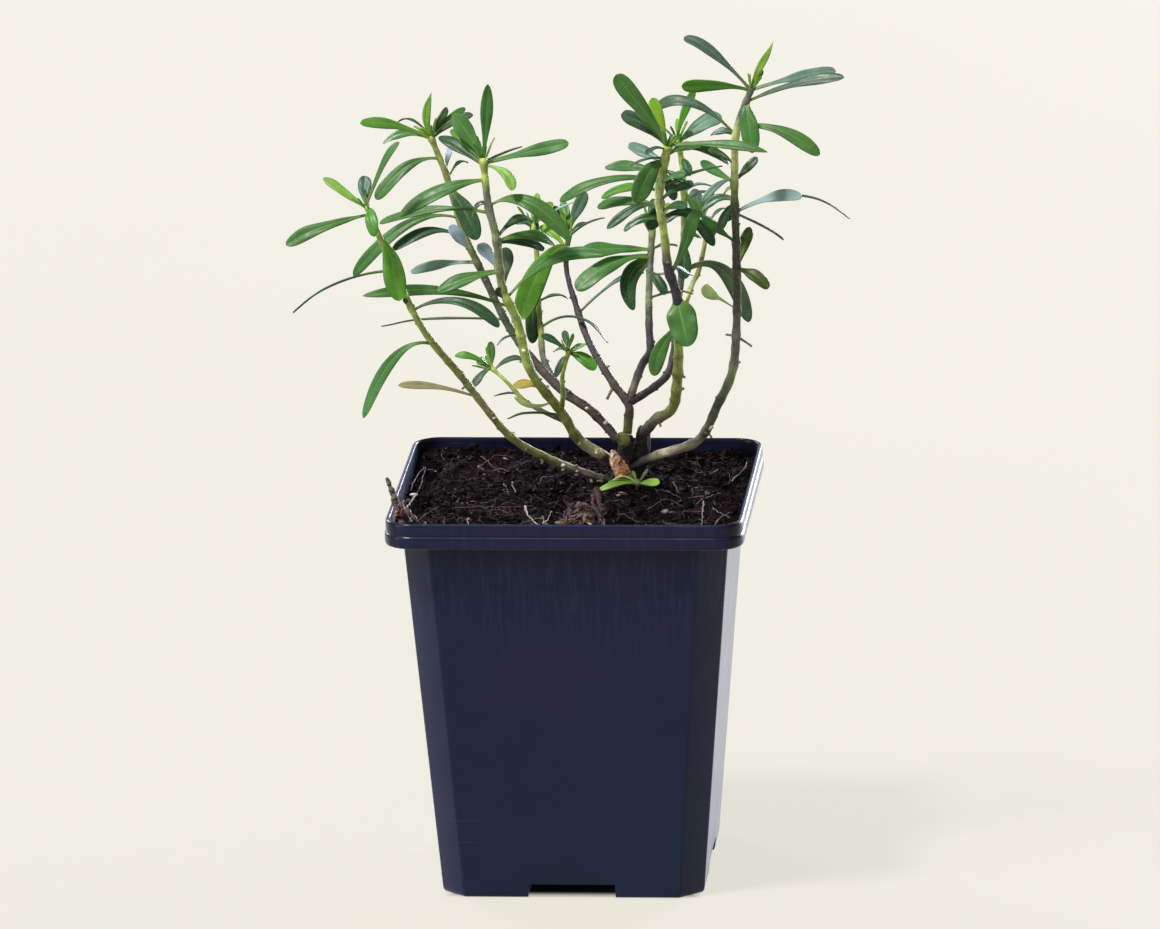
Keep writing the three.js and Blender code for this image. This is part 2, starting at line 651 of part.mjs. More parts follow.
function makeSoil(sunkPieces) {
  const ledge = POT_HEIGHT - RIM_HEIGHT + WALL + GAP;
  const filling = loft([
    bodyRing(FLOOR + GAP, WALL + GAP),
    bodyRing(ledge, WALL + GAP),
    rimRing(ledge + LEDGE_RISE, WALL + RIM_STEP + GAP),
    rimRing(POT_HEIGHT + MOUND_HEIGHT + CRUMB_HEIGHT, WALL + RIM_STEP + GAP),
  ]);
  const whole = filling.intersect(roughBlock()).subtract(channelCover(GAP));
  return sunkPieces.reduce((soil, piece) => soil.subtract(piece), whole);
}

// Crown

// Woody length through the points of its route, made larger all round by extra
function limb({ route, radii }, extra = 0, sides = TWIG_SIDES) {
  const radiusAt = (share) => along(radii, share) + extra;
  return taperedTube(curveThrough(route), radiusAt, sides, 2 * (radii.length - 1));
}

function crownLimb({ route, radii }) {
  const [x, y, z] = CROWN_AT;
  return { route: route.map(([right, back, up]) => [x + right, y + back, z + up]), radii };
}

function root(index) {
  const angle = (2 * Math.PI * (index + 0.35)) / ROOTS;
  const reach = between(...ROOT_REACH, draw(index + 41));
  const depth = between(...ROOT_DEPTH, draw(index + 51));
  const right = reach * Math.cos(angle);
  const back = reach * Math.sin(angle);
  return {
    route: [[0, 0, -10], [0.55 * right, 0.55 * back, -16], [right, back, -depth]],
    radii: [1.9, 1.2, 0.7],
  };
}

// Woody rootstock with its necks and roots, made larger all round by extra
function crownSolid(extra) {
  const limbs = LIMBS.map((piece) => limb(crownLimb(piece), extra, STEM_SIDES));
  for (let i = 0; i < ROOTS; i += 1) {
    limbs.push(limb(crownLimb(root(i)), extra));
  }
  return wasm.Manifold.union(limbs);
}

// Leafy stems

function stemSteps(curve) {
  return Math.max(5, Math.round(curve.getLength() / STEM_STEP));
}

// Midrib of a leaf: a curve that leaves the stem, bows by its arch in the middle and ends at its reach
function midrib(start, reach, arch) {
  const end = start.clone().add(reach);
  const [right, up] = Array.isArray(arch) ? arch : [0, arch];
  const bend = start.clone().lerp(end, 0.5).add(new THREE.Vector3(2 * right, 0, 2 * up));
  return new THREE.QuadraticBezierCurve3(start, bend, end);
}

function facingVector(letters) {
  const sum = new THREE.Vector3();
  const directions = [...letters].filter((letter) => letter in FACINGS);
  directions.forEach((letter) => sum.add(vector(FACINGS[letter])));
  return sum.normalize();
}

function outlineFor(letters, length) {
  const usual = length > LONG_BLADE ? LONG_OUTLINE : SHORT_OUTLINE;
  return OUTLINES[letters.at(-1)] ?? usual;
}

// Flat blade of even thickness. Both faces are split into triangles alike.
function leafSolid(start, [, right, back, up, width, arch, facing]) {
  const reach = new THREE.Vector3(right, back, up);
  const curve = midrib(start, reach, arch);
  const across = reach.clone().cross(facingVector(facing)).normalize();
  const points = [];
  for (const [share, halfWidth] of outlineFor(facing, reach.length())) {
    const centre = curve.getPoint(share);
    const forward = curve.getTangent(share);
    const side = across.clone().addScaledVector(forward, -across.dot(forward)).normalize();
    const normal = side.clone().cross(forward).multiplyScalar(BLADE_THICKNESS / 2);
    side.multiplyScalar((halfWidth * width) / 2);
    points.push(centre.clone().sub(side).add(normal), centre.clone().add(side).add(normal));
    points.push(centre.clone().add(side).sub(normal), centre.clone().sub(side).sub(normal));
  }
  const faces = [[0, 3, 2], [0, 2, 1]];
  for (let a = 0; a + 4 < points.length; a += 4) {
    const [tl, tr, br, bl] = [a, a + 1, a + 2, a + 3];
    faces.push([tl, tr, tr + 4], [tl, tr + 4, tl + 4]);
    faces.push([bl, br + 4, br], [bl, bl + 4, br + 4]);
    faces.push([tr, br, br + 4], [tr, br + 4, tr + 4]);
    faces.push([tl, tl + 4, bl + 4], [tl, bl + 4, bl]);
  }
  const last = points.length - 4;
  faces.push([last, last + 1, last + 2], [last, last + 2, last + 3]);
  return solidFromFaces(points, faces);
}

function stubSolid(start, [, right, back, up, radius]) {
  const end = start.clone().add(new THREE.Vector3(right, back, up));
  const radiusAt = (share) => between(radius, STUB_TAPER * radius, share);
  return taperedTube(new THREE.LineCurve3(start, end), radiusAt, STUB_SIDES, 1);
}

function branchSolids(branch) {
  const curve = curveThrough(branch.route);
  const radiusAt = (share) => along(branch.radius, share);
  const tube = taperedTube(curve, radiusAt, STEM_SIDES, stemSteps(curve));
  const leaves = branch.leaves.map((leaf) => leafSolid(curve.getPointAt(leaf[0]), leaf));
  const stubs = (branch.stubs ?? []).map((stub) => stubSolid(curve.getPointAt(stub[0]), stub));
  return [tube, ...leaves, ...stubs];
}

function makeLeafyStem(branches) {
  return wasm.Manifold.union(branches.flatMap(branchSolids));
}

// Plain hole that a stem's foot stands in
function socketFor(branch) {
  const [foot, next] = branch.route.map(vector);
  const end = foot.clone().sub(next).setLength(GAP).add(foot);
  const curve = curveThrough([end.toArray(), ...branch.route.slice(1, 4)]);
  return taperedTube(curve, () => branch.radius[0] + GAP, STEM_SIDES, 6);
}

// Small pieces at the foot of the plant

function makeFlake() {
  const shape = new THREE.Shape(FLAKE_OUTLINE.map(([x, y]) => new THREE.Vector2(x, y)));
  const plate = new THREE.ExtrudeGeometry(shape, { depth: FLAKE_THICKNESS, bevelEnabled: false });
  return placed(plate, FLAKE_AT, [Math.PI / 2 - FLAKE_LEAN, 0, 0]);
}

function makeSprout() {
  const leaves = SPROUT.leaves.map((leaf) => leafSolid(vector(SPROUT.leavesFrom), leaf));
  return wasm.Manifold.union([limb(SPROUT), ...leaves]);
}

function makeRimTwig() {
  return wasm.Manifold.union(RIM_TWIG.map((piece) => limb(piece)));
}

function makeFibreLump(extra = 0) {
  const geometry = new THREE.IcosahedronGeometry(1, 2);
  const position = geometry.attributes.position;
  const halfSize = vector(LUMP_HALF_SIZE).addScalar(extra);
  for (let i = 0; i < position.count; i += 1) {
    const point = new THREE.Vector3().fromBufferAttribute(position, i);
    const seed = Math.round(point.x * 50) + 3 * Math.round(point.y * 50) + 7 * Math.round(point.z * 50);
    point.multiplyScalar(between(...LUMP_ROUGHNESS, draw(seed))).multiply(halfSize);
    position.setXYZ(i, point.x, point.y, point.z);
  }
  return placed(geometry, LUMP_AT, LUMP_TURN);
}

// Assembly

function material(color, roughness) {
  return new THREE.MeshStandardMaterial({ color, roughness, metalness: 0 });
}

function node(name, solid, color, roughness) {
  const mesh = new THREE.Mesh(geometryOf(solid), material(color, roughness));
  mesh.name = name;
  return mesh;
}

const sockets = Object.values(STEMS).map((branches) => socketFor(branches[0]));
const crown = sockets.reduce((wood, socket) => wood.subtract(socket), crownSolid(0));
const soil = makeSoil([crownSolid(GAP), limb(SPROUT, GAP), makeFibreLump(2 * GAP), ...sockets]);

const part = new THREE.Group();
part.name = "potted_evergreen_candytuft";
part.add(node("pot", makePot(), "#23252f", 0.45));
part.add(node("soil", soil, "#221b18", 0.95));
part.add(node("crown", crown, "#3b332c", 0.85));
part.add(node("bark_flake", makeFlake(), "#a8683a", 0.8));
part.add(node("basal_sprout", makeSprout(), "#86c04a", 0.5));
part.add(node("rim_twig", makeRimTwig(), "#6a5040", 0.9));
part.add(node("fibre_lump", makeFibreLump(), "#5a4032", 0.95));
for (const [name, branches] of Object.entries(STEMS)) {
  part.add(node(name, makeLeafyStem(branches), "#44703a", 0.45));
}

export default part;
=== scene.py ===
"""A young evergreen candytuft in a square nursery pot, standing on a pale floor.

Sizes and places are in millimetres, with +Z up and the front towards -Y, and MM turns them into metres.
Every random draw is seeded, so each run makes the same plant.
"""
import math

import bmesh
import bpy
import numpy as np
from mathutils import Matrix, Vector, noise


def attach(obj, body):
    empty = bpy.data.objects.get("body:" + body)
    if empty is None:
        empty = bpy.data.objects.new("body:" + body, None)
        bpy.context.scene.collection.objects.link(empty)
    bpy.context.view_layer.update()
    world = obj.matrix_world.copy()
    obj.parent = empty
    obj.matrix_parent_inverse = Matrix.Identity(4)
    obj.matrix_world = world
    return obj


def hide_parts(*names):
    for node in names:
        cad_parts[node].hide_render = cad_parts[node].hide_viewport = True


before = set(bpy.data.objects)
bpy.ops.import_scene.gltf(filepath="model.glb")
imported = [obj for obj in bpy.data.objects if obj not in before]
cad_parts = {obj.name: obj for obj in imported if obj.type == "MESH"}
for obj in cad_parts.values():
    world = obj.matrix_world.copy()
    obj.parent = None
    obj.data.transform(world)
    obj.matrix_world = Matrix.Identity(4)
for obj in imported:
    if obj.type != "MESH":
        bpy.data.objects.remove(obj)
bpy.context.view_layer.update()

MM = 0.001

# Pot
POT_HEIGHT = 100
RIM_HALF = 45
BODY_TOP_HALF = 40.8
FOOT_HALF = 33
RIM_HEIGHT = 6.5
UNDER_RIM = POT_HEIGHT - RIM_HEIGHT
GROOVE = POT_HEIGHT - 3.3
RIM_CORNER = 7.5
BODY_CORNER = 7
FOOT_CORNER = 5.8
EDGE_RADIUS = 1.08
CORNER_LEAD = 0.6
WALL = 1
FLOOR = 1.2
CHANNEL_WIDTH = 22
CHANNEL_HEIGHT = 3.6
DRAIN_RADIUS = 3
DRAIN_REACH = 19
MOULD_EDGE = 0.28

# Soil
SOIL_LEVEL = 96.8
SOIL_HALF = 43.3
SOIL_CELLS = 190
SOIL_GAP = 0.15
CROWN_AT = [10.5, 5, 97]
BROAD_LUMPS = {"high": 1.2, "wide": 9}
FINE_LUMPS = {"high": 0.75, "wide": 2.6}
CLOD_WIDTH = 3.1
WALL_SLOPE = {"deep": 0.9, "wide": 7}
GULLY = {"deep": 3.2, "wide": 3.6, "x": -41, "from_middle": 36}
# Where the soil's painted shade darkens it right of the crown: middle, spread
DARK_SPOT = {"at": (20, -14), "spread": (9, 13)}
CRUMBS = 4600
LARGE_CRUMBS = 240
LARGE_CRUMB_SIZES = (0.6, 1.3)
SMALL_CRUMB_SIZES = (0.16, 0.6)
FIBRES = 300
LOOSE_CHIPS = 46

# Leaves
LONG_BLADE = 17
SHORT_BLADE = 14
BLADE_THICKNESS = 0.5
RIB_WIDTH = 0.34
RIB_GROOVE = 0.15
RIB_KEEL = 0.2
BLADE_SWAY = 0.028
TIP_CURLS = (-0.05, 0.03)
BLADE_TWIST = 16
BLADE_FOLDS = (5, 13)
DRY_FOLD = 18
BLADE_RIPPLE = 0.05
TUFT_LENGTHS = (3.4, 6.6)
TUFT_SPREADS = (0.3, 0.75)

# Stems
STEM_SIDES = 16
STEM_STEP = 0.9
NODE_SWELL = 0.11
NODE_HALF = 0.9
SCAR_GAP = 4.6
SCAR_HALF = [0.34, 0.5, 0.34]
MARK_HALF = [0.5, 0.36, 0.4]
GOLDEN_TURN = 2.4

# Camera, fitted to the pot's edges in the photo, whose frame is 1160 pixels wide
VIEW_AZIMUTH = 4.72
VIEW_ELEVATION = 14.34
VIEW_ROLL = 0.97
VIEW_DISTANCE = 3395
VIEW_TARGET = [1.16, 0, 104.18]
FRAME_WIDTH = 1160
PIXELS_PER_MM = 3.967
SENSOR = 36

# Floor and light
FLOOR_SIDE = 18000
FLOOR_DROP = 0.05
FLOOR_GLOW = "#fffbee"
FLOOR_GLOW_STRENGTH = 0.698
BOUNCED_GLOW = 0.5
SKY_COLOUR = (0.9, 0.95, 1, 1)
SKY_STRENGTH = 0.26
LIGHTS_AIM = (0, 0, 0.12)
# Name, kind, power, colour, place in metres, and size: a sun's in degrees, a lamp's in metres
LIGHTS = [
    ("key", "SUN", 3.5, (1, 0.985, 0.94), (-0.9, -0.75, 2.3), 10),
    ("right", "AREA", 80, (0.86, 0.89, 1), (1.1, 2.1, 0.3), 0.9),
    ("left", "AREA", 12, (0.74, 0.9, 1), (-2.0, -0.9, 0.6), 1.0),
    ("back", "AREA", 30, (0.88, 0.93, 1), (-1.5, 1.7, 1.0), 0.8),
]

# Colours of leaves and bark, as seen
LEAF_TONES = {
    "green": "#518645",
    "bright": "#5f9b35",
    "deep": "#32583e",
    "young": "#97be5a",
    "lime": "#8bb52c",
    # A bluish grey-green, lightened with a painted sheen
    "blue": "#7b9a98",
    # A pale blue-white, a painted sheen of the sky standing in for the leaf's green
    "ice": "#b9c8ee",
    "slate": "#5a7264",
    "olive": "#5b6a35",
    "pale": "#e4e7bd",
    # A yellowing leaf, its tint raised past its own colour as painted light shining through it
    "yellow": "#ffee92",
    "straw": "#bba98a",
    "sprout": "#aad252",
}
BARK_TONES = {
    "pale": "#cce290",
    "shoot": "#b6d06a",
    "olive": "#919c52",
    "khaki": "#9ea066",
    "sage": "#8c9a76",
    "slate": "#6f7a70",
    "moss": "#46503b",
    "tan": "#c9c3a6",
    "grey": "#7a736e",
    "brown": "#584e4c",
    "dark": "#37323a",
}
BARK_GAIN = 1.4
BARK_BRIGHTEST = 0.92
SCAR_TONE = "#b9ad93"
STUB_TONE = "#e6dcc0"
MARK_TINT = (1.5, 1.48, 1.35, 1)

# Which way a leaf's upper face looks: up, front, left
FACINGS = {"U": (0, 0, 1), "F": (0, -1, 0), "L": (-1, 0, 0)}

# The leafy stems. Each has one main branch and those that fork from it.
# route: where the stem passes, foot first. radius: at the foot and at the tip.
# bark: the colour at some shares along the stem.
# leaves: share along the stem, reach right, back and up, width, arch, facing, colour.
# An arch is how far the middle rises, or lies to the right and rises.
# P, T, O or S after the facing makes a blade pointed, tapering, oval, or a spoon on a thin stalk.
# marks: share along the stem and how high on its side, for white scars on the side seen in front.
# stubs: share along the stem, reach right, back and up, radius, for leaf scars and dead twigs.
STEM_FAR_LEFT = [dict(
    route=[[9, 3, 99], [2, 0, 102], [-7, -5, 107.3], [-16, -10, 114.5], [-27, -16, 131], [-34, -20, 141],
           [-38.4, -22, 149.5], [-44.8, -25, 166], [-48.8, -28, 177.8]],
    radius=[1.05, 0.75],
    bark={0: "brown", 0.08: "grey", 0.16: "khaki", 0.3: "olive", 0.4: "khaki", 0.55: "olive",
          0.7: "shoot", 1: "shoot"},
    leaves=[
        [0.99, -11.5, 4, 7, 2.6, 0.2, "UF", "young"],
        [1, -1, 6, 6, 3.5, 0, "F", "slate"],
        [1, 8.2, 3, 15.6, 2.6, 2, "FLT", "green"],
        [0.99, 2, -7, -5.4, 3.2, 2, "F", "bright"],
        [0.975, -20.7, -6, -6.3, 3.7, 1.2, "UF", "green"],
        [0.9, 5, -5, -14, 5.6, 2, "F", "bright"],
        [0.82, -26.5, 5, -11.6, 2.2, 2.6, "U", "deep"],
        [0.71, 22, -6, -3, 3.4, 4.8, "UF", "deep"],
        [0.72, -1.6, -2, 2.6, 1.2, 0, "F", "deep"],
        [0.61, -18, -4, -18, 3.6, 6, "UF", "green"],
        [0.43, -20.2, 4, 2, 2.2, 0.6, "UF", "straw"],
    ],
    marks=[[0.095, -0.8], [0.1, 0.1], [0.14, 0.2], [0.155, 0.8], [0.195, -0.9], [0.365, 0.4]],
    stubs=[[0.06, 0.6, -1, -1.6, 0.4], [0.1, 0.4, -0.6, 1.5, 0.4], [0.13, -0.4, -1.5, -0.8, 0.45],
           [0.19, -0.6, -1.2, -1.4, 0.35], [0.3, 1.3, -0.8, 1.2, 0.3], [0.47, -1.6, 0.4, -1, 0.35]],
)]
STEM_BACK_LEFT = [dict(
    route=[[10.2, 6.6, 108.8], [8, 7.6, 111.5], [3, 10, 116], [-5, 13, 121], [-16, 18, 132.5],
           [-23, 22, 145], [-29.5, 24, 159], [-33.5, 25, 173], [-37.3, 24, 183.6]],
    radius=[1.2, 0.75],
    bark={0: "brown", 0.3: "brown", 0.42: "moss", 0.6: "moss", 0.68: "olive", 0.88: "khaki", 1: "shoot"},
    leaves=[
        [1, 0.4, 0, 11.4, 2.2, [-1, 0], "FP", "young"],
        [1, -9, 6, 2.6, 1.3, 2, "U", "deep"],
        [0.99, -17.8, -3, 5, 3.3, 1, "UF", "bright"],
        [0.99, -13.3, 7, -2.6, 3, 2, "UF", "green"],
        [0.99, 3.4, 4, 7.4, 2, 0, "F", "deep"],
        [0.99, 8, 7, 6.4, 2, 1, "UF", "green"],
        [0.99, 10.4, 2, 5.7, 2.6, 1.2, "UF", "deep"],
        [0.93, -16, -6, -9, 3.9, 3, "UF", "green"],
        [0.87, 4.6, 6, 2.6, 1.6, 2.2, "U", "deep"],
        [0.89, 1, 8, 5, 2, 1, "U", "ice"],
        [0.84, 6.6, -5, -12, 5.2, 2, "F", "deep"],
        [0.76, -26.2, -6, -13.8, 3.6, 6, "UF", "green"],
        [0.7, -18.5, -3, -2, 3.4, 3, "UF", "deep"],
        [0.66, -5.5, -2, 7.2, 3.6, 0.5, "UF", "ice"],
        [0.63, -17.5, 6, -3.5, 3.3, 0.3, "UF", "blue"],
        [0.46, -31.9, 6, -2.2, 2, 0.3, "U", "olive"],
    ],
    marks=[[0.055, 0.7], [0.12, 0.1]],
    stubs=[[0.09, 0.9, -1.4, 1, 0.4], [0.19, 0.8, -1.2, 1.4, 0.4], [0.3, -1.4, -0.8, -1, 0.35]],
), dict(
    route=[[-5, 13, 121], [-9, 18, 127], [-10, 22, 133.7], [-11, 27, 141], [-11.4, 31, 149.7],
           [-12.5, 34, 158.5]],
    radius=[0.85, 0.6],
    bark={0: "dark", 0.2: "slate", 0.35: "olive", 0.6: "olive", 1: "shoot"},
    leaves=[
        [0.39, 18, -4, -2.5, 2, 4.5, "U", "deep"],
        [0.55, 7, 9, -1, 2, 1, "U", "deep"],
        [0.64, -1.6, -6, -13.4, 3.8, 1, "F", "deep"],
        [0.61, -5, 6, -6, 2.3, 1, "UF", "lime"],
        [0.82, -1, 4, 9, 2.5, 0, "F", "green"],
        [0.91, 0, 8, 10, 2.4, 0, "U", "young"],
        [0.96, -5, 6, 0.6, 2.4, 1, "UF", "deep"],
        [1, 5, 3, 4.6, 2.2, 1, "UF", "lime"],
        [1, 10.2, 3, 4.9, 1.4, 0.4, "U", "ice"],
    ],
)]
STEM_FRONT_LEFT = [dict(
    route=[[9, 4, 104], [7, 2, 106], [1, -1, 111], [-3, -4, 119], [-10, -9, 130.5], [-13, -12, 144],
           [-16.5, -14, 154], [-17.5, -16, 166.5], [-19.5, -16, 176], [-20.5, -15, 187]],
    radius=[1.3, 0.9],
    bark={0: "brown", 0.04: "brown", 0.055: "pale", 0.09: "tan", 0.12: "olive", 0.2: "olive",
          0.32: "olive", 0.4: "shoot", 0.62: "shoot", 0.7: "sage", 0.8: "sage", 0.9: "slate",
          0.95: "shoot", 1: "shoot"},
    leaves=[
        [1, 1.6, 0, 18.9, 3.2, 0, "FT", "green"],
        [1, -7.5, 4, 9.8, 4.6, 0.5, "F", "green"],
        [0.99, -9, 9, 6, 3.2, 1, "UF", "bright"],
        [0.98, -12, 7, 6, 3.4, 0.6, "UF", "deep"],
        [0.99, 8.9, 8, 2.2, 1.2, 0, "U", "slate"],
        [0.985, 21, 4, 4, 3.7, 0.3, "UF", "green"],
        [0.98, 7.2, -6, -5.2, 2.9, [2, 1.3], "UF", "young"],
        [0.94, -21, -6, -8, 4.7, 2.6, "UFT", "green"],
        [0.85, -28, 4, -4, 3, 3, "UF", "green"],
        [0.87, 20.5, -7, -8, 4.7, 6, "UFT", "green"],
        [0.87, -5, 5, -3.8, 2.2, 1.8, "UF", "deep"],
        [0.78, 8.5, 7, 3, 2.8, 2.4, "UF", "deep"],
        [0.77, 14.4, 6, -2, 3.2, 2.1, "UF", "green"],
        [0.765, 11.5, 6, -2.3, 3.4, 0.8, "UF", "deep"],
        [0.69, -5.5, 3, 5.7, 3.4, 0.6, "UF", "ice"],
        [0.685, -15.5, -4, -4.2, 4, 0.8, "UF", "green"],
        [0.635, 0, 6, 9, 5, 0, "F", "slate"],
        [0.605, 25.5, -6, 12.2, 3.7, 4.2, "UFT", "green"],
        [0.6, -2.6, -2, 3.4, 2.4, 0, "F", "deep"],
        [0.575, -36.8, -5, 4.8, 3.2, 2.3, "UFT", "green"],
        [0.49, -6, -3, -1.6, 1, 1, "U", "deep"],
        [0.3, -8.6, -1, 1.8, 2.8, 1.5, "UF", "yellow"],
        [0.27, -9.5, 1, 0.8, 1.6, -2.2, "UF", "pale"],
        [0.21, -14, -5, 1, 1.4, 1, "U", "deep"],
    ],
    marks=[[0.065, 0.2], [0.11, 0.9], [0.45, 0.2]],
    stubs=[[0.07, 1.2, -1.6, 0.6, 0.45], [0.13, 0.8, -1.5, -1.3, 0.45], [0.32, 1.8, -1, 0.8, 0.4],
           [0.41, -1.9, -0.6, 0.4, 0.4]],
), dict(
    route=[[-3, -4, 119], [-2, -10, 125], [-1.8, -13, 130.5], [0.3, -17, 138]],
    radius=[0.65, 0.5],
    bark={0: "olive", 1: "shoot"},
    leaves=[
        [1, -1.4, 3, 4.4, 1.9, 0, "F", "deep"],
        [0.98, -7, 0, 4, 2, 0.8, "UF", "deep"],
        [0.96, -4, 6, -1, 2, 1, "UF", "deep"],
        [0.98, 4, 5, 1, 1.6, 0.5, "U", "deep"],
        [0.95, 7, -3, -3.4, 3.4, 1.4, "UF", "bright"],
        [0.93, -3, -3, -5, 1.8, 1, "UF", "deep"],
    ],
), dict(
    route=[[-2, -3, 116], [-12, 4, 119], [-18, 8, 124], [-22, 10, 127]],
    radius=[0.6, 0.5],
    bark={0: "dark", 0.6: "olive", 1: "shoot"},
    leaves=[
        [1, -9, 0, 3, 2.2, 1, "UF", "bright"],
        [0.99, 0, 3, 6, 2.1, 0, "F", "green"],
        [0.99, -2, -5, 4, 1.9, 0, "UF", "bright"],
        [0.95, 7, 5, 2, 2, 1, "UF", "slate"],
        [0.98, -5, -4, -4, 2.2, 0.6, "UF", "slate"],
        [0.63, -6, 4, -2, 1.6, 0.5, "U", "deep"],
    ],
)]
STEM_MIDDLE = [dict(
    route=[[12.7, 6.2, 110.6], [13, 7, 114], [13, 8, 118], [8.5, 12, 123], [3, 18, 130.5],
           [-1, 25, 138.7], [-4, 31, 148], [-3.3, 34, 157]],
    radius=[1.15, 0.6],
    bark={0: "olive", 0.08: "brown", 0.25: "brown", 0.6: "dark", 0.9: "dark", 1: "olive"},
    leaves=[
        [1, 4, 0, 10, 3.3, 0, "F", "blue"],
        [0.98, 4.6, 6, 1.9, 1.6, 0.6, "U", "deep"],
        [0.97, 9.6, -4, 5.5, 1.6, 1.2, "U", "slate"],
        [0.62, 16.3, 5, 10.1, 2.8, 1.8, "U", "slate"],
        [0.97, -4, 4, 7, 2.4, 0, "F", "deep"],
        [0.91, -7, 5, 5, 2.6, 1, "UF", "lime"],
        [0.86, 4, 5, 1.4, 2.4, 1, "U", "green"],
        [0.96, -2, 8, 8, 2.6, 0, "F", "green"],
        [0.93, -11, -14, -16, 6.2, 5, "F", "bright"],
    ],
    stubs=[[0.24, -1.8, -1.5, -3.2, 0.45], [0.33, 1.5, -0.8, 1, 0.35]],
), dict(
    route=[[13, 8, 118], [16, 12, 126.5], [18.3, 13, 130.5], [18, 16, 136], [17.8, 20, 145.5],
           [18.6, 25, 160.7]],
    radius=[1.05, 0.75],
    bark={0: "dark", 0.1: "grey", 0.2: "dark", 0.4: "dark", 0.5: "moss", 0.6: "sage", 0.8: "slate",
          1: "olive"},
    leaves=[
        [0.86, -16.8, -8, 1.5, 4.6, 0.4, "UF", "green"],
        [0.82, -18, -11, -6, 5.4, 3, "UF", "green"],
        [0.75, 4, -6, -5, 3, 1, "UF", "deep"],
        [0.8, -3.7, -6, -11.5, 4.4, [-3.3, 2.4], "FO", "deep"],
        [0.94, 0, 6, 8, 2.6, 0, "F", "deep"],
        [0.96, 4, 8, 5, 2.8, 1, "U", "lime"],
        [0.92, -2, 9, 3, 2.6, 1, "UF", "deep"],
        [0.86, 6, 7, -1, 2.6, 1, "U", "green"],
        [0.6, 11, 5, 0.4, 1.4, 0.8, "U", "olive"],
    ],
    stubs=[[0.72, 4, -1.5, 1.2, 0.4]],
), dict(
    route=[[13.5, 8, 118.3], [19, 12, 121.2], [22.5, 15, 124], [24, 18, 129], [25, 24, 141.5],
           [26.5, 26, 156.5], [26.3, 25, 175], [25.2, 23, 183.5]],
    radius=[1, 0.75],
    bark={0: "dark", 0.2: "dark", 0.35: "moss", 0.55: "slate", 0.7: "khaki", 0.8: "shoot", 1: "shoot"},
    leaves=[
        [1, 4.2, 3, 12, 2.3, 0, "F", "bright"],
        [0.98, 11, 4, 6, 4.8, 1, "UF", "blue"],
        [0.95, 12, 5, -5, 3.2, 2.5, "UF", "deep"],
        [0.92, 2.5, -4, -3.5, 2.6, 0.6, "F", "deep"],
        [0.86, -3, -3, -5, 2.4, 0.6, "F", "deep"],
        [0.8, 4, -2, -6, 2.2, 0.6, "F", "green"],
        [0.8, 7, 9, -1, 2, 1.5, "U", "blue"],
        [0.76, 7, 7, 1, 2, 1.5, "U", "blue"],
        [0.65, 4, 6, -2, 2.4, 0.5, "UF", "slate"],
        [0.63, 0, -4, -9, 3.8, 1, "F", "deep"],
        [0.72, -6, 6, -4, 2.8, 1, "UF", "deep"],
        [0.69, 7, 4, -7, 3.2, 3, "F", "deep"],
        [0.52, 16.4, 5, -14, 4.4, [1.6, 7.8], "F", "slate"],
    ],
), dict(
    route=[[24.4, 20.5, 133], [27.7, 30, 143], [29.6, 32, 147], [31.5, 35, 156.5], [30.8, 36, 160.4]],
    radius=[0.75, 0.55],
    bark={0: "tan", 0.25: "pale", 0.45: "pale", 0.5: "olive", 0.7: "khaki", 1: "olive"},
    leaves=[
        [1, 2, 3, 6, 2.2, 0, "F", "green"],
        [1, -3, 3, 6, 3.2, 0, "F", "slate"],
        [0.92, 5, 3, 4, 2, 1, "U", "deep"],
        [0.92, -4, -3, 5, 2, 1, "UF", "green"],
        [0.98, 2, -3, -4.6, 3.2, [0, 1.4], "F", "deep"],
    ],
)]
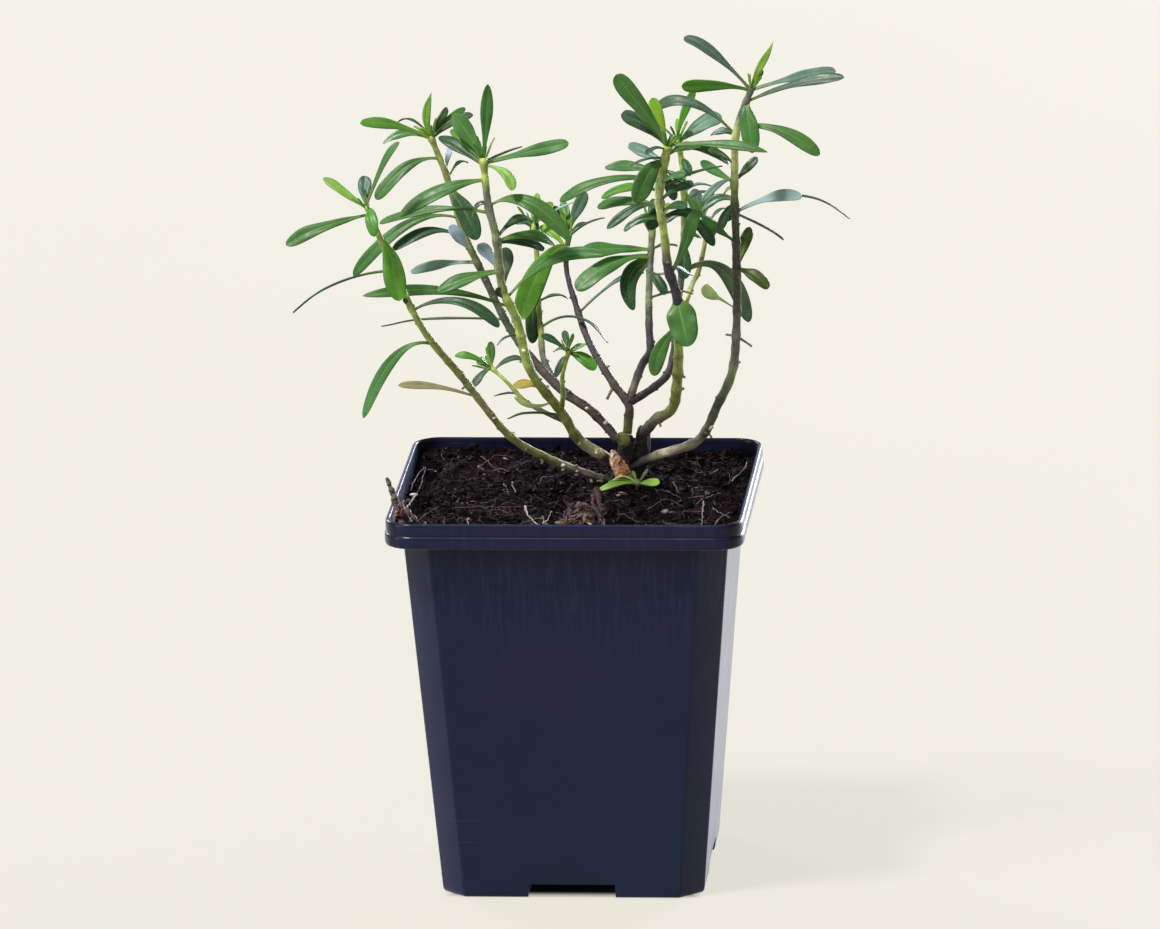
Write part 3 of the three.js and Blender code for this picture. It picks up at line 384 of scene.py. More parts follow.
STEM_FRONT_RIGHT = [dict(
    route=[[16.5, 7, 110], [20, 3, 115], [24, 0, 118], [26, -4, 123.3], [27.2, -9, 137],
           [27.4, -13, 150], [25.4, -14.8, 158.5], [24.6, -16, 167], [23.7, -17, 175],
           [23.7, -16.5, 180], [25.7, -16, 190.3]],
    radius=[1.35, 0.95],
    bark={0: "dark", 0.08: "grey", 0.14: "khaki", 0.2: "olive", 0.3: "olive", 0.46: "shoot",
          0.52: "dark", 0.66: "dark", 0.7: "khaki", 0.75: "shoot", 0.85: "pale", 0.93: "shoot",
          1: "shoot"},
    leaves=[
        [1, -12.2, -3, 18.6, 4.8, 0.4, "F", "green"],
        [1, -4, 3, 11.6, 3.5, 0, "F", "lime"],
        [1, -12, 6, 7, 3.9, 1, "F", "deep"],
        [1, -8.5, 5, 8.8, 2.4, 0.5, "UF", "green"],
        [1, -4, 8, 2, 2.8, 1, "UF", "green"],
        [1, 25.3, -6, 0, 2.9, 1.5, "UFT", "green"],
        [0.955, -9.4, 6, 3.2, 3.6, 0, "UF", "blue"],
        [0.99, -5, -4, -0.3, 2.4, 1, "U", "deep"],
        [0.965, -8.4, -4, -1.3, 1.8, 1, "U", "slate"],
        [0.92, -15, 7, 0.6, 3.3, 0.6, "UF", "green"],
        [0.9, -25.5, -3, -4, 3.4, 2.5, "UF", "green"],
        [0.87, -15, 5, -3, 2.8, 2, "UF", "bright"],
        [0.83, -16.2, 3, -1.2, 3, 1.5, "UF", "green"],
        [0.95, -7, -7, -8.4, 5.3, 2.5, "F", "green"],
        [0.83, -13, -4, -5, 2.6, 2, "UF", "deep"],
        [0.93, 4.5, -3, -2.4, 1.8, 0.8, "UF", "deep"],
        [0.9, 6.5, 3, -1.5, 1.8, 1.5, "U", "deep"],
        [0.79, -10, 6, -4.4, 3.2, 1.5, "UF", "green"],
        [0.84, -2.4, 5, -8.6, 3.8, 1, "F", "deep"],
        [0.54, 2.8, -5, -10.6, 7.4, 0.6, "FO", "green"],
        [0.46, -5.8, -3, -12.5, 4, [-1.6, 1], "F", "green"],
        [0.62, 7.5, -5, 17.7, 3.4, 0, "F", "green"],
        [0.79, 9.5, 4, 0.3, 3, 1, "UF", "deep"],
        [0.84, 9, -5, 6, 2.8, 1, "UF", "deep"],
        [0.88, 15.2, 6, 4.5, 2, 0.6, "U", "deep"],
        [0.89, 7, -8, 4, 2.6, 1, "UF", "green"],
        [0.81, 7, -7, 3, 2.8, 1, "UF", "deep"],
        [0.97, 8, 7, 1, 2.8, 1, "UF", "green"],
        [0.64, 5, 9, -4, 2.6, 1, "UF", "deep"],
        [0.93, 2.6, 4, -8.5, 2.8, 0.8, "F", "deep"],
    ],
    stubs=[[0.1, 0.5, -1.2, -1.9, 0.4], [0.24, 2, -0.8, 1, 0.4], [0.3, 1.9, -0.6, -0.8, 0.4]],
)]
STEM_FAR_RIGHT = [dict(
    route=[[13, 4.5, 102], [21, 3, 106], [31, 3, 110], [36, 4, 119], [40, 5, 129], [41, 6, 146],
           [41, 5, 162], [41, 3, 179], [42, 1, 191], [46, 0, 202]],
    radius=[1.2, 0.85],
    bark={0: "dark", 0.05: "dark", 0.09: "tan", 0.15: "tan", 0.19: "moss", 0.27: "moss", 0.34: "sage",
          0.42: "grey", 0.5: "moss", 0.72: "moss", 0.76: "olive", 0.79: "pale", 0.9: "pale",
          0.93: "slate", 1: "slate"},
    leaves=[
        [0.99, -17, 3, 13, 3.4, 2.4, "UF", "slate"],
        [0.99, -17, -5, 2.4, 3.4, 0.5, "F", "bright"],
        [1, 5, 3, 11, 1.9, 0, "FP", "young"],
        [0.99, 21, 5, 3, 3.2, 1.5, "UF", "blue"],
        [0.96, 25, -4, 7, 3.2, 2, "UF", "slate"],
        [0.96, 1.8, -6, -11.6, 4.7, 2, "F", "green"],
        [0.9, 20.8, -5, -6, 3.8, 2.8, "UF", "green"],
        [0.88, -21, 4, 7, 3.4, 4.2, "UF", "slate"],
        [0.77, 5.6, 4, 5.4, 2.4, 0.2, "UF", "slate"],
        [0.7, 17, -3, 4.4, 3.4, 2.2, "UF", "ice"],
        [0.7, 29, 4, -2, 2.2, 5.2, "U", "slate"],
        [0.7, 12, 5, -8, 2.2, 0.4, "U", "slate"],
        [0.57, 3, 7, 9.4, 3, 0, "F", "olive"],
        [0.57, 8, -5, -4, 3.6, 1.5, "UF", "olive"],
        [0.78, -8, -5, -5, 2, 1, "UF", "blue"],
        [0.81, -6, -5, 5, 2.2, 1, "UF", "green"],
        [0.88, -7, 8, -1.5, 2.6, 1, "UF", "deep"],
        [0.77, -9, 6, 4, 2.6, 0, "F", "green"],
        [0.63, -8.5, -5, 7.6, 2.8, 0.6, "UF", "green"],
        [0.73, -8.4, 5, -3.8, 3.4, 1.5, "UF", "deep"],
        [0.72, -2.6, 4, -5.5, 3, 1, "F", "deep"],
        [0.72, -4, -5, -6, 2.4, 1, "F", "deep"],
        [0.76, -4, 8, -5, 2.6, 1, "UF", "lime"],
        [0.48, -8.6, -3, 6.2, 4, 0, "UFS", "pale"],
    ],
    stubs=[[0.15, 6, -0.5, 5.5, 0.5], [0.2, 1.4, -1, -1.6, 0.35], [0.36, 1.7, -0.6, 0.6, 0.4],
           [0.42, -2.6, -0.8, 0.8, 0.35], [0.42, 4, -0.6, -2.2, 0.35]],
)]
STEMS = {
    "stem_far_left": STEM_FAR_LEFT,
    "stem_back_left": STEM_BACK_LEFT,
    "stem_front_left": STEM_FRONT_LEFT,
    "stem_middle": STEM_MIDDLE,
    "stem_front_right": STEM_FRONT_RIGHT,
    "stem_far_right": STEM_FAR_RIGHT,
}

# Colours and curves


def linear(text):
    """Linear colour of a #rrggbb word."""
    shares = [int(text[i : i + 2], 16) / 255 for i in (1, 3, 5)]
    return np.array([s / 12.92 if s <= 0.04045 else ((s + 0.055) / 1.055) ** 2.4 for s in shares])


def between(low, high, share):
    return low + (high - low) * share


def smooth(share):
    share = np.clip(share, 0, 1)
    return share * share * (3 - 2 * share)


def bell(away, spread):
    return np.exp(-((away / spread) ** 2))


def pick(rng, choices):
    return choices[int(rng.integers(0, len(choices)))]


def random_turn(rng, most, least=0.0):
    """Matrix of a turn by a random angle round a random axis."""
    return np.array(Matrix.Rotation(rng.uniform(least, most), 3, Vector(rng.standard_normal(3))))


def curve_through(route, steps=20):
    """Many points on the smooth curve that passes through the points of a route."""
    route = np.array(route, float)
    ends = [2 * route[0] - route[1], 2 * route[-1] - route[-2]]
    fence = np.vstack([ends[0], route, ends[1]])
    share = np.linspace(0, 1, steps, endpoint=False)[:, None]
    spans = []
    for a, b, c, d in zip(fence, fence[1:], fence[2:], fence[3:]):
        leave, arrive = (c - a) / 2, (d - b) / 2
        spans.append(
            (2 * share**3 - 3 * share**2 + 1) * b
            + (share**3 - 2 * share**2 + share) * leave
            + (-2 * share**3 + 3 * share**2) * c
            + (share**3 - share**2) * arrive
        )
    return np.vstack([*spans, route[-1:]])


def reached_along(points):
    """How far along a line of points each of them lies."""
    steps = np.linalg.norm(np.diff(points, axis=0), axis=1)
    return np.concatenate([[0], np.cumsum(steps)])


class Path:
    """A curve that can be asked for the point at any share of its length."""

    def __init__(self, route):
        self.points = curve_through(route)
        self.reached = reached_along(self.points)
        self.length = self.reached[-1]

    def at(self, share):
        place = np.asarray(share) * self.length
        return np.stack([np.interp(place, self.reached, self.points[:, k]) for k in range(3)], -1)


def unit(vectors):
    return vectors / np.maximum(np.linalg.norm(vectors, axis=-1, keepdims=True), 1e-9)


def squares_along(points):
    """Two directions square to a line at each of its points, turning as little as they can."""
    tangents = unit(np.gradient(points, axis=0))
    normal = np.cross(tangents[0], [0.3, 0.2, 1] if abs(tangents[0][2]) < 0.9 else [1, 0.2, 0])
    normals = []
    for tangent in tangents:
        normal = unit(normal - tangent * (normal @ tangent))
        normals.append(normal)
    normals = np.array(normals)
    return normals, np.cross(tangents, normals)


def sizes_along(sizes, shares):
    """Sizes given at even steps, read at some shares of the way."""
    return np.interp(shares, np.linspace(0, 1, len(sizes)), sizes)


# Meshes

WHITE = (1, 1, 1, 1)
NOWHERE = (0, 0, 0)


def write_values(mesh, tints, places):
    """Gives each point of a mesh the tint and the place that the materials read."""
    for name, kind, key, values in (
        ("tint", "FLOAT_COLOR", "color", tints),
        ("place", "FLOAT_VECTOR", "vector", places),
    ):
        if name in mesh.attributes:
            mesh.attributes.remove(mesh.attributes[name])
        made = mesh.attributes.new(name, kind, "POINT")
        made.data.foreach_set(key, np.asarray(values).astype(np.float32).ravel())


class Skin:
    """Gathers lofts and blobs into one mesh, with a tint and a place at each point."""

    def __init__(self):
        self.points, self.faces, self.tints, self.places = [], [], [], []
        self.count = 0

    def add(self, points, faces, tint=WHITE, place=NOWHERE):
        points = np.asarray(points, float)
        self.points.append(points)
        self.faces += [[i + self.count for i in face] for face in faces]
        self.tints.append(np.broadcast_to(tint, (len(points), 4)))
        self.places.append(np.broadcast_to(place, (len(points), 3)))
        self.count += len(points)

    def loft(self, rings, tint=WHITE, place=NOWHERE):
        """Closed skin over rings of equal point count, each turning left as seen from its far end."""
        rings = np.asarray(rings, float)
        rows, columns = rings.shape[:2]
        near = np.arange(columns)
        far = np.roll(near, -1)
        band = np.stack([near, far, far + columns, near + columns], 1)
        faces = []
        for start in range(0, (rows - 1) * columns, columns):
            faces += (band + start).tolist()
        first, top = rows * columns, (rows - 1) * columns
        faces += [[b, a, first] for a, b in zip(near.tolist(), far.tolist())]
        faces += [[a + top, b + top, first + 1] for a, b in zip(near.tolist(), far.tolist())]
        tint = np.broadcast_to(tint, (rows, columns, 4))
        place = np.broadcast_to(place, (rows, columns, 3))
        self.add(self.with_ends(rings), faces, self.with_ends(tint), self.with_ends(place))

    @staticmethod
    def with_ends(values):
        """Values for each point of a loft, with those of its two end points added."""
        return np.vstack([values.reshape(-1, values.shape[-1]), values[0].mean(0), values[-1].mean(0)])

    def tube(self, points, radii, sides, tint=WHITE):
        """Rod along some points. Its radii are for all, for each point, or for each point and side."""
        points = np.asarray(points, float)
        normals, binormals = squares_along(points)
        angles = np.linspace(0, 2 * math.pi, sides, endpoint=False)
        if np.ndim(radii) < 2:
            radii = np.broadcast_to(radii, len(points))[:, None] * np.ones(sides)
        cosines, sines = np.cos(angles)[None, :, None], np.sin(angles)[None, :, None]
        out = cosines * normals[:, None] + sines * binormals[:, None]
        rings = points[:, None] + radii[..., None] * out
        place = np.empty(rings.shape)
        place[..., 0] = cosines[..., 0]
        place[..., 1] = reached_along(points)[:, None]
        place[..., 2] = sines[..., 0]
        tint = np.asarray(tint, float)
        self.loft(rings, tint[:, None] if tint.ndim == 2 else tint, place)

    def piece(self, name, paint, flat=False):
        """The finished object, in metres."""
        mesh = bpy.data.meshes.new(name)
        mesh.from_pydata((np.vstack(self.points) * MM).tolist(), [], self.faces)
        write_values(mesh, np.vstack(self.tints), np.vstack(self.places))
        mesh.materials.append(paint)
        if not flat:
            mesh.shade_smooth()
        made = bpy.data.objects.new(name, mesh)
        bpy.context.scene.collection.objects.link(made)
        return made


def settle(made, *nodes, slot):
    """Puts a finished piece on the part's one body, in place of the solids that it stands for."""
    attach(made, "root")
    if nodes:
        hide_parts(*nodes)
    return made


def ball(fineness):
    """Points and faces of a round ball of radius 1."""
    mesh = bpy.data.meshes.new("ball")
    shape = bmesh.new()
    bmesh.ops.create_icosphere(shape, subdivisions=fineness, radius=1)
    shape.to_mesh(mesh)
    shape.free()
    points = np.array([v.co[:] for v in mesh.vertices])
    faces = [list(face.vertices) for face in mesh.polygons]
    bpy.data.meshes.remove(mesh)
    return points, faces


def bake_modifiers(target):
    shown = target.evaluated_get(bpy.context.evaluated_depsgraph_get())
    mesh = bpy.data.meshes.new_from_object(shown)
    target.modifiers.clear()
    old = target.data
    target.data = mesh
    bpy.data.meshes.remove(old)


def shape_with(target, tools, operation):
    """Joins the tools to the target, or cuts them out of it."""
    for i, tool in enumerate(tools):
        cutter = tool.piece(f"cutter_{i}", None)
        modifier = target.modifiers.new("cut", "BOOLEAN")
        modifier.operation = operation
        modifier.solver = "EXACT"
        modifier.object = cutter
        bake_modifiers(target)
        bpy.data.objects.remove(cutter, do_unlink=True)


# Materials


class Paint:
    """A material in the making: one Principled shader, its colour so far, and the nodes that feed it."""

    def __init__(self, name):
        self.material = bpy.data.materials.new(name)
        self.material.use_nodes = True
        self.tree = self.material.node_tree
        self.shader = self.tree.nodes["Principled BSDF"]
        self.output = self.tree.nodes["Material Output"]
        self.where = self.node("TexCoord").outputs["Object"]
        self.colour = None
        self.normal = None

    def put(self, node, inputs):
        for name, value in inputs.items():
            if isinstance(value, bpy.types.NodeSocket):
                self.tree.links.new(value, node.inputs[name])
            else:
                node.inputs[name].default_value = value

    def node(self, kind, inputs=None, **settings):
        made = self.tree.nodes.new("ShaderNode" + kind)
        for name, value in settings.items():
            setattr(made, name, value)
        self.put(made, inputs or {})
        return made

    def attribute(self, name):
        return self.node("Attribute", attribute_name=name).outputs

    def parts(self, vector):
        return self.node("SeparateXYZ", {0: vector}).outputs

    def maths(self, kind, first, second=0.0):
        return self.node("Math", {0: first, 1: second}, operation=kind).outputs[0]

    def times(self, first, second):
        return self.maths("MULTIPLY", first, second)

    def size(self, value):
        return self.maths("ABSOLUTE", value)

    def noise(self, scale, detail=3.0, roughness=0.55, stretch=None, distortion=0.0, at=None):
        """Noise at the point, or at another vector, finer along the axes that have a high stretch."""
        at = self.where if at is None else at
        if stretch:
            at = self.node("VectorMath", {0: at, 1: stretch}, operation="MULTIPLY").outputs[0]
        inputs = {"Vector": at, "Scale": scale, "Detail": detail, "Roughness": roughness}
        return self.node("TexNoise", {**inputs, "Distortion": distortion}).outputs[0]

    def cells(self, scale):
        return self.node("TexVoronoi", {"Vector": self.where, "Scale": scale}).outputs["Distance"]

    def spread(self, value, low, high, start=0.0, end=1.0):
        """Value from start to end, as the given one goes from low to high."""
        inputs = {"Value": value, "From Min": low, "From Max": high, "To Min": start, "To Max": end}
        return self.node("MapRange", inputs, interpolation_type="SMOOTHSTEP").outputs[0]

    def patches(self, scale, detail, low, high, start=0.0, end=1.0, roughness=0.55):
        """Noise, spread from start to end as it goes from low to high."""
        return self.spread(self.noise(scale, detail, roughness), low, high, start, end)

    def blend(self, share, first, second, kind="MIX"):
        made = self.node("Mix", data_type="RGBA", blend_type=kind)
        self.put(made, {0: share, 6: as_colour(first), 7: as_colour(second)})
        return made.outputs[2]

    def cover(self, share, colour):
        """Lays a colour over the one so far, as thick as the share."""
        self.colour = self.blend(share, self.colour, colour)

    def dye(self, colour):
        """Multiplies the colour so far by another."""
        self.colour = self.blend(1.0, self.colour, colour, "MULTIPLY")

    def gloss(self, rough, specular):
        """Gives the shader its colour, and how rough and how bright its reflections are."""
        self.put(self.shader, {"Base Color": self.colour, "Roughness": rough})
        self.put(self.shader, {"Specular IOR Level": specular})

    def sheen(self, weight, rough, tint):
        self.put(self.shader, {"Sheen Weight": weight, "Sheen Roughness": rough, "Sheen Tint": (*tint, 1)})

    def bump(self, height, distance, strength=1.0):
        """Relief of the given height, in metres, on top of any that is there already."""
        inputs = {"Height": height, "Distance": distance, "Strength": strength}
        if self.normal is not None:
            inputs["Normal"] = self.normal
        self.normal = self.node("Bump", inputs).outputs[0]
        self.put(self.shader, {"Normal": self.normal})


def as_colour(value):
    if isinstance(value, str):
        return (*linear(value), 1)
    return value


# How much light comes through a leaf, and in what colour beside the leaf's own
LEAF_GLOW = 0.24
LEAF_GLOW_TINT = (1.35, 1.5, 0.42, 1)


def leaf_paint(name):
    """Waxy leaf: pale midrib, margin and stalk, mottled green, greyer below, with light shining through."""
    paint = Paint(name)
    tint = paint.attribute("tint")
    across, along, _ = paint.parts(paint.attribute("place")["Vector"])
    out = paint.size(across)
    upper = paint.spread(tint["Alpha"], 0.3, 0.7)
    paint.colour = paint.blend(paint.patches(190, 3, 0.34, 0.68), "#dbe1d8", "#fffff6")
    paint.dye(tint["Color"])
    paint.cover(paint.patches(2300, 2, 0.42, 0.7, 0, 0.15), "#9db85c")
    under = paint.blend(1.0, paint.colour, "#d8e2b8", "SOFT_LIGHT")
    paint.colour = paint.blend(upper, under, paint.colour)
    rib = paint.times(paint.spread(out, 0.02, 0.12, 0.32, 0), paint.spread(along, 0.55, 1.0, 1, 0.15))
    paint.cover(rib, "#a8bd6c")
    paint.cover(paint.spread(out, 0.86, 1.0, 0, 0.16), "#a3b36a")
    paint.cover(paint.spread(along, 0.02, 0.34, 0.42, 0), "#9aa856")
    rough = paint.patches(700, 3, 0.3, 0.7, 0.34, 0.48)
    paint.gloss(paint.maths("ADD", rough, paint.spread(upper, 0, 1, 0.16, 0)), 0.35)
    paint.sheen(0.16, 0.4, (0.72, 0.86, 1))
    paint.bump(paint.noise(1500, 3), 0.00005, 0.4)
    paint.bump(paint.noise(420, 2), 0.00025, 0.22)
    paint.dye(LEAF_GLOW_TINT)
    glow = paint.node("BsdfTranslucent", {"Color": paint.colour})
    mix = paint.node("MixShader", {0: LEAF_GLOW, 1: paint.shader.outputs[0], 2: glow.outputs[0]})
    paint.put(paint.output, {"Surface": mix.outputs[0]})
    return paint.material


def bark_paint(name):
    """Young bark: its tint in patches, lengthwise wrinkles, rings across, and fine pale specks."""
    paint = Paint(name)
    place = paint.attribute("place")["Vector"]
    wrinkles = paint.noise(1.0, 4, 0.6, (4.2, 0.55, 4.2), 0.4, place)
    rings = paint.noise(1.0, 3, 0.6, (0.9, 3.4, 0.9), at=place)
    paint.colour = paint.blend(paint.patches(330, 4, 0.32, 0.7), "#c8bdba", "#fffdf6")
    paint.dye(paint.attribute("tint")["Color"])
    paint.cover(paint.spread(wrinkles, 0.34, 0.58, 0.4, 0), "#1c1518")
    paint.cover(paint.spread(rings, 0.58, 0.7, 0, 0.14), "#cfc6ae")
    paint.cover(paint.patches(2100, 2, 0.66, 0.74, 0, 0.3), "#efe8d8")
    paint.gloss(paint.spread(wrinkles, 0.3, 0.7, 0.62, 0.44), 0.4)
    paint.bump(wrinkles, 0.00022, 0.7)
    paint.bump(rings, 0.00016, 0.5)
    paint.bump(paint.noise(2600, 2), 0.00005, 0.6)
    return paint.material


def fibre_paint(name):
    """Dry fibre and wood: its tint in patches, dull and rough."""
    paint = Paint(name)
    paint.colour = paint.blend(paint.patches(900, 4, 0.3, 0.7), "#8d7b70", "#fff8ee")
    paint.dye(paint.attribute("tint")["Color"])
    paint.gloss(paint.patches(600, 2, 0.3, 0.7, 0.6, 0.85), 0.3)
    paint.bump(paint.noise(3000, 3), 0.00012, 0.8)
    return paint.material


def soil_paint(name):
    """Damp peat, made near black in the hollows by the painted shade in its tint, reddish brown on the
    crumbs, with fine pale grit.
    """
    paint = Paint(name)
    paint.colour = paint.blend(paint.patches(420, 5, 0.34, 0.68, roughness=0.65), "#020103", "#190a14")
    paint.cover(paint.patches(2400, 4, 0.5, 0.72, 0, 0.5, roughness=0.7), "#482e38")
    paint.dye(paint.attribute("tint")["Color"])
    wet = paint.patches(130, 3, 0.4, 0.6, roughness=0.6)
    paint.dye(paint.blend(wet, (0.34, 0.3, 0.38, 1), (1.45, 1.36, 1.36, 1)))
    grit = paint.spread(paint.cells(900), 0.1, 0.16, 0.75, 0)
    paint.cover(paint.times(grit, paint.patches(260, 2, 0.56, 0.66)), "#a08c74")
    paint.gloss(paint.patches(1300, 3, 0.35, 0.65, 0.62, 0.92), 0.1)
    paint.bump(paint.noise(1100, 5, 0.7), 0.0006, 0.8)
    paint.bump(paint.noise(3600, 3, 0.7), 0.0002, 0.8)
    return paint.material


# Heights in metres between which the pot's looks change
STREAKS_RISE = ((UNDER_RIM - 38.5) * MM, (UNDER_RIM - 1.5) * MM)
STREAKS_FADE = ((UNDER_RIM - 1) * MM, UNDER_RIM * MM)
RIM_COLOUR_RISE = ((UNDER_RIM - 1) * MM, (UNDER_RIM + 0.5) * MM)
RIM_SHADE_RISE = ((POT_HEIGHT - 15) * MM, (POT_HEIGHT - 5) * MM)


def pot_paint(name):
    """Moulded plastic, blue-black and satin: faint flow streaks below the rim, dust, fine scuffs, and
    painted shade under the rim and inside the pot.
    """
    paint = Paint(name)
    aside, away, height = paint.parts(paint.where)
    streaks = paint.spread(paint.noise(1.0, 4, 0.6, (900, 900, 14)), 0.46, 0.72)
    streaks = paint.times(streaks, paint.spread(height, *STREAKS_RISE))
    streaks = paint.times(streaks, paint.spread(height, *STREAKS_FADE, 1, 0.3))
    paint.colour = paint.blend(paint.patches(34, 4, 0.36, 0.7, roughness=0.6), "#17203f", "#1f1f41")
    paint.cover(paint.patches(19, 2, 0.44, 0.66), "#172440")
    paint.cover(paint.spread(height, *RIM_COLOUR_RISE, 0, 0.7), "#1f1d3b")
    paint.cover(paint.times(streaks, 0.6), "#303a56")
    dust = paint.patches(5200, 2, 0.66, 0.8, 0, 0.3, roughness=0.6)
    dust = paint.times(dust, paint.patches(60, 3, 0.4, 0.62))
    paint.cover(dust, "#76778a")
    scratch = paint.spread(paint.noise(1.0, 2, 0.5, (40, 40, 2600), 1.2), 0.7, 0.76)
    paint.cover(paint.times(scratch, paint.patches(48, 2, 0.56, 0.7, 0, 0.3)), "#555d77")
    # Painted shade under the rim's overhang and on the walls inside the pot, deepest towards the rim
    reach = paint.maths("MAXIMUM", paint.size(aside), paint.size(away))
    painted_rim_shade = paint.spread(reach, (RIM_HALF - WALL) * MM, (RIM_HALF - WALL - 0.8) * MM, 0, 0.8)
    paint.cover(paint.times(painted_rim_shade, paint.spread(height, *RIM_SHADE_RISE)), "#120d17")
    rough = paint.patches(85, 4, 0.3, 0.7, 0.24, 0.36, roughness=0.6)
    paint.gloss(paint.maths("ADD", rough, paint.times(dust, 0.5)), 0.16)
    paint.sheen(0.55, 0.3, (0.6, 0.7, 1))
    paint.put(paint.shader, {"Coat Weight": 0.8, "Coat Roughness": 0.12, "Coat IOR": 1.08})
    paint.bump(paint.noise(1700, 3), 0.00003, 0.4)
    paint.bump(streaks, 0.00006, 0.5)
    paint.bump(paint.noise(26, 2), 0.0007, 0.25)
    return paint.material


# Leaves

# Outlines of blades: share along, share of the full width
LONG_SHAPE = [[0, 0.28], [0.12, 0.28], [0.25, 0.37], [0.4, 0.57], [0.55, 0.81], [0.68, 0.96], [0.78, 1],
              [0.86, 0.96], [0.93, 0.8], [0.97, 0.58], [0.99, 0.34], [1, 0.04]]
SHORT_SHAPE = [[0, 0.3], [0.15, 0.36], [0.3, 0.55], [0.45, 0.8], [0.58, 0.95], [0.7, 1], [0.81, 0.95],
               [0.9, 0.78], [0.955, 0.56], [0.985, 0.34], [1, 0.04]]
LETTER_SHAPES = {
    "P": [[0, 0.4], [0.2, 0.66], [0.38, 0.93], [0.5, 1], [0.65, 0.88], [0.8, 0.56], [0.92, 0.22],
          [1, 0.03]],
    "T": [[0, 0.28], [0.12, 0.3], [0.25, 0.42], [0.4, 0.68], [0.54, 0.93], [0.64, 1], [0.76, 0.94],
          [0.87, 0.74], [0.94, 0.52], [0.98, 0.3], [1, 0.04]],
    "O": [[0, 0.34], [0.08, 0.5], [0.2, 0.82], [0.36, 1], [0.55, 1], [0.75, 0.9], [0.88, 0.68],
          [0.96, 0.42], [0.99, 0.22], [1, 0.04]],
    "S": [[0, 0.14], [0.2, 0.12], [0.44, 0.14], [0.55, 0.4], [0.66, 0.8], [0.78, 1], [0.88, 0.95],
          [0.95, 0.7], [0.99, 0.34], [1, 0.04]],
}
LEAF_ROWS = 26
UPPER_ROW = [-1, -0.84, -0.62, -0.38, -0.15, 0, 0.15, 0.38, 0.62, 0.84, 1]
LOWER_ROW = [0.86, 0.6, 0.32, 0.12, 0, -0.12, -0.32, -0.6, -0.86]


def add_leaf(skin, start, leaf, rng):
    """One leaf of a table, whose facing letters may end with the letter of its shape."""
    *reach, width, arch, facing, tone = leaf
    directions = [FACINGS[letter] for letter in facing if letter in FACINGS]
    looks = unit(np.sum(directions, axis=0).astype(float))
    add_blade(skin, start, np.array(reach, float), width, arch, looks, tone, rng, facing[-1])


def add_blade(skin, start, reach, width, arch, looks, tone, rng, letter=None):
    """One blade from its stalk at start: folded along the midrib, grooved above, keeled below."""
    length = np.linalg.norm(reach)
    share = 1 - (1 - np.linspace(0, 1, LEAF_ROWS)) ** 1.5
    middle, side, normal = blade_spine(start, reach, arch, looks, share, rng)
    usual = LONG_SHAPE if length > LONG_BLADE else SHORT_SHAPE
    shape = curve_through(LETTER_SHAPES.get(letter, usual), 8)
    half = np.interp(share, shape[:, 0], shape[:, 1])[:, None] * width / 2
    out = np.array(UPPER_ROW + LOWER_ROW)[None, :]
    upper = np.array([1] * len(UPPER_ROW) + [0] * len(LOWER_ROW))[None, :]
    height = blade_height(share[:, None], half, out, upper, width, length, tone == "straw", rng)
    rings = middle[:, None] + side[:, None] * (out * half)[..., None]
    rings = rings + normal[:, None] * height[..., None]
    base = linear(LEAF_TONES[tone]) * rng.uniform(0.86, 1.14)
    base = base * np.array([rng.uniform(0.9, 1.12), 1, rng.uniform(0.85, 1.15)])
    tint = np.empty((*height.shape, 4))
    tint[..., :3] = base
    tint[..., 3] = upper
    place = np.empty((*height.shape, 3))
    place[..., 0] = out
    place[..., 1] = share[:, None]
    place[..., 2] = rng.uniform(0, 1)
    skin.loft(rings[:, ::-1], tint[:, ::-1], place[:, ::-1])


def blade_spine(start, reach, arch, looks, share, rng):
    """A blade's midline with its sideward and upward directions. It sways, curls at its tip and twists."""
    length = np.linalg.norm(reach)
    s = share[:, None]
    aside, rise = arch if isinstance(arch, list) else (0, arch)
    bend = start + reach / 2 + np.array([2 * aside, 0, 2 * rise])
    middle = (1 - s) ** 2 * start + 2 * s * (1 - s) * bend + s**2 * (start + reach)
    across = unit(np.cross(reach, looks))
    sway = rng.uniform(-BLADE_SWAY, BLADE_SWAY) * length * np.sin(math.pi * share * rng.uniform(1, 1.8))
    middle = middle + sway[:, None] * across
    tangents = unit(np.gradient(middle, share, axis=0))
    side = unit(across - tangents * (tangents @ across)[:, None])
    normal = np.cross(side, tangents)
    tip_curl = rng.uniform(*TIP_CURLS) * length * smooth((share - 0.6) / 0.4) ** 2
    middle = middle + tip_curl[:, None] * normal
    twist = math.radians(rng.uniform(-BLADE_TWIST, BLADE_TWIST)) * (s - 0.25)
    turned_side = np.cos(twist) * side + np.sin(twist) * normal
    turned_normal = np.cos(twist) * normal - np.sin(twist) * side
    return middle, turned_side, turned_normal


def blade_height(share, half, out, upper, width, length, dry, rng):
    """How high each point of a blade's skin lies over its midline."""
    fold = math.tan(math.radians(rng.uniform(*BLADE_FOLDS) + (DRY_FOLD if dry else 0)))
    ripple = BLADE_RIPPLE * width * np.sin(share * rng.uniform(9, 14) + rng.uniform(0, 6))
    thick = BLADE_THICKNESS / 2 * (1 - 0.45 * smooth((share - 0.5) / 0.5))
    thick = thick * between(0.55, 1, smooth(length / SHORT_BLADE))
    rim = np.where(np.abs(out) > 0.99, 0, 1 - 0.72 * out**2)
    lift = fold * half * (np.sqrt(out**2 + 0.02) - 0.35 * smooth((np.abs(out) - 0.6) / 0.4))
    lift = lift + ripple * out**2 * np.sign(out)
    rib = bell(out * half, RIB_WIDTH) * (1 - 0.7 * share)
    top = thick * rim - RIB_GROOVE * rib * smooth(half / 0.8)
    low = -thick * rim - RIB_KEEL * rib
    return lift + np.where(upper > 0, top, low)


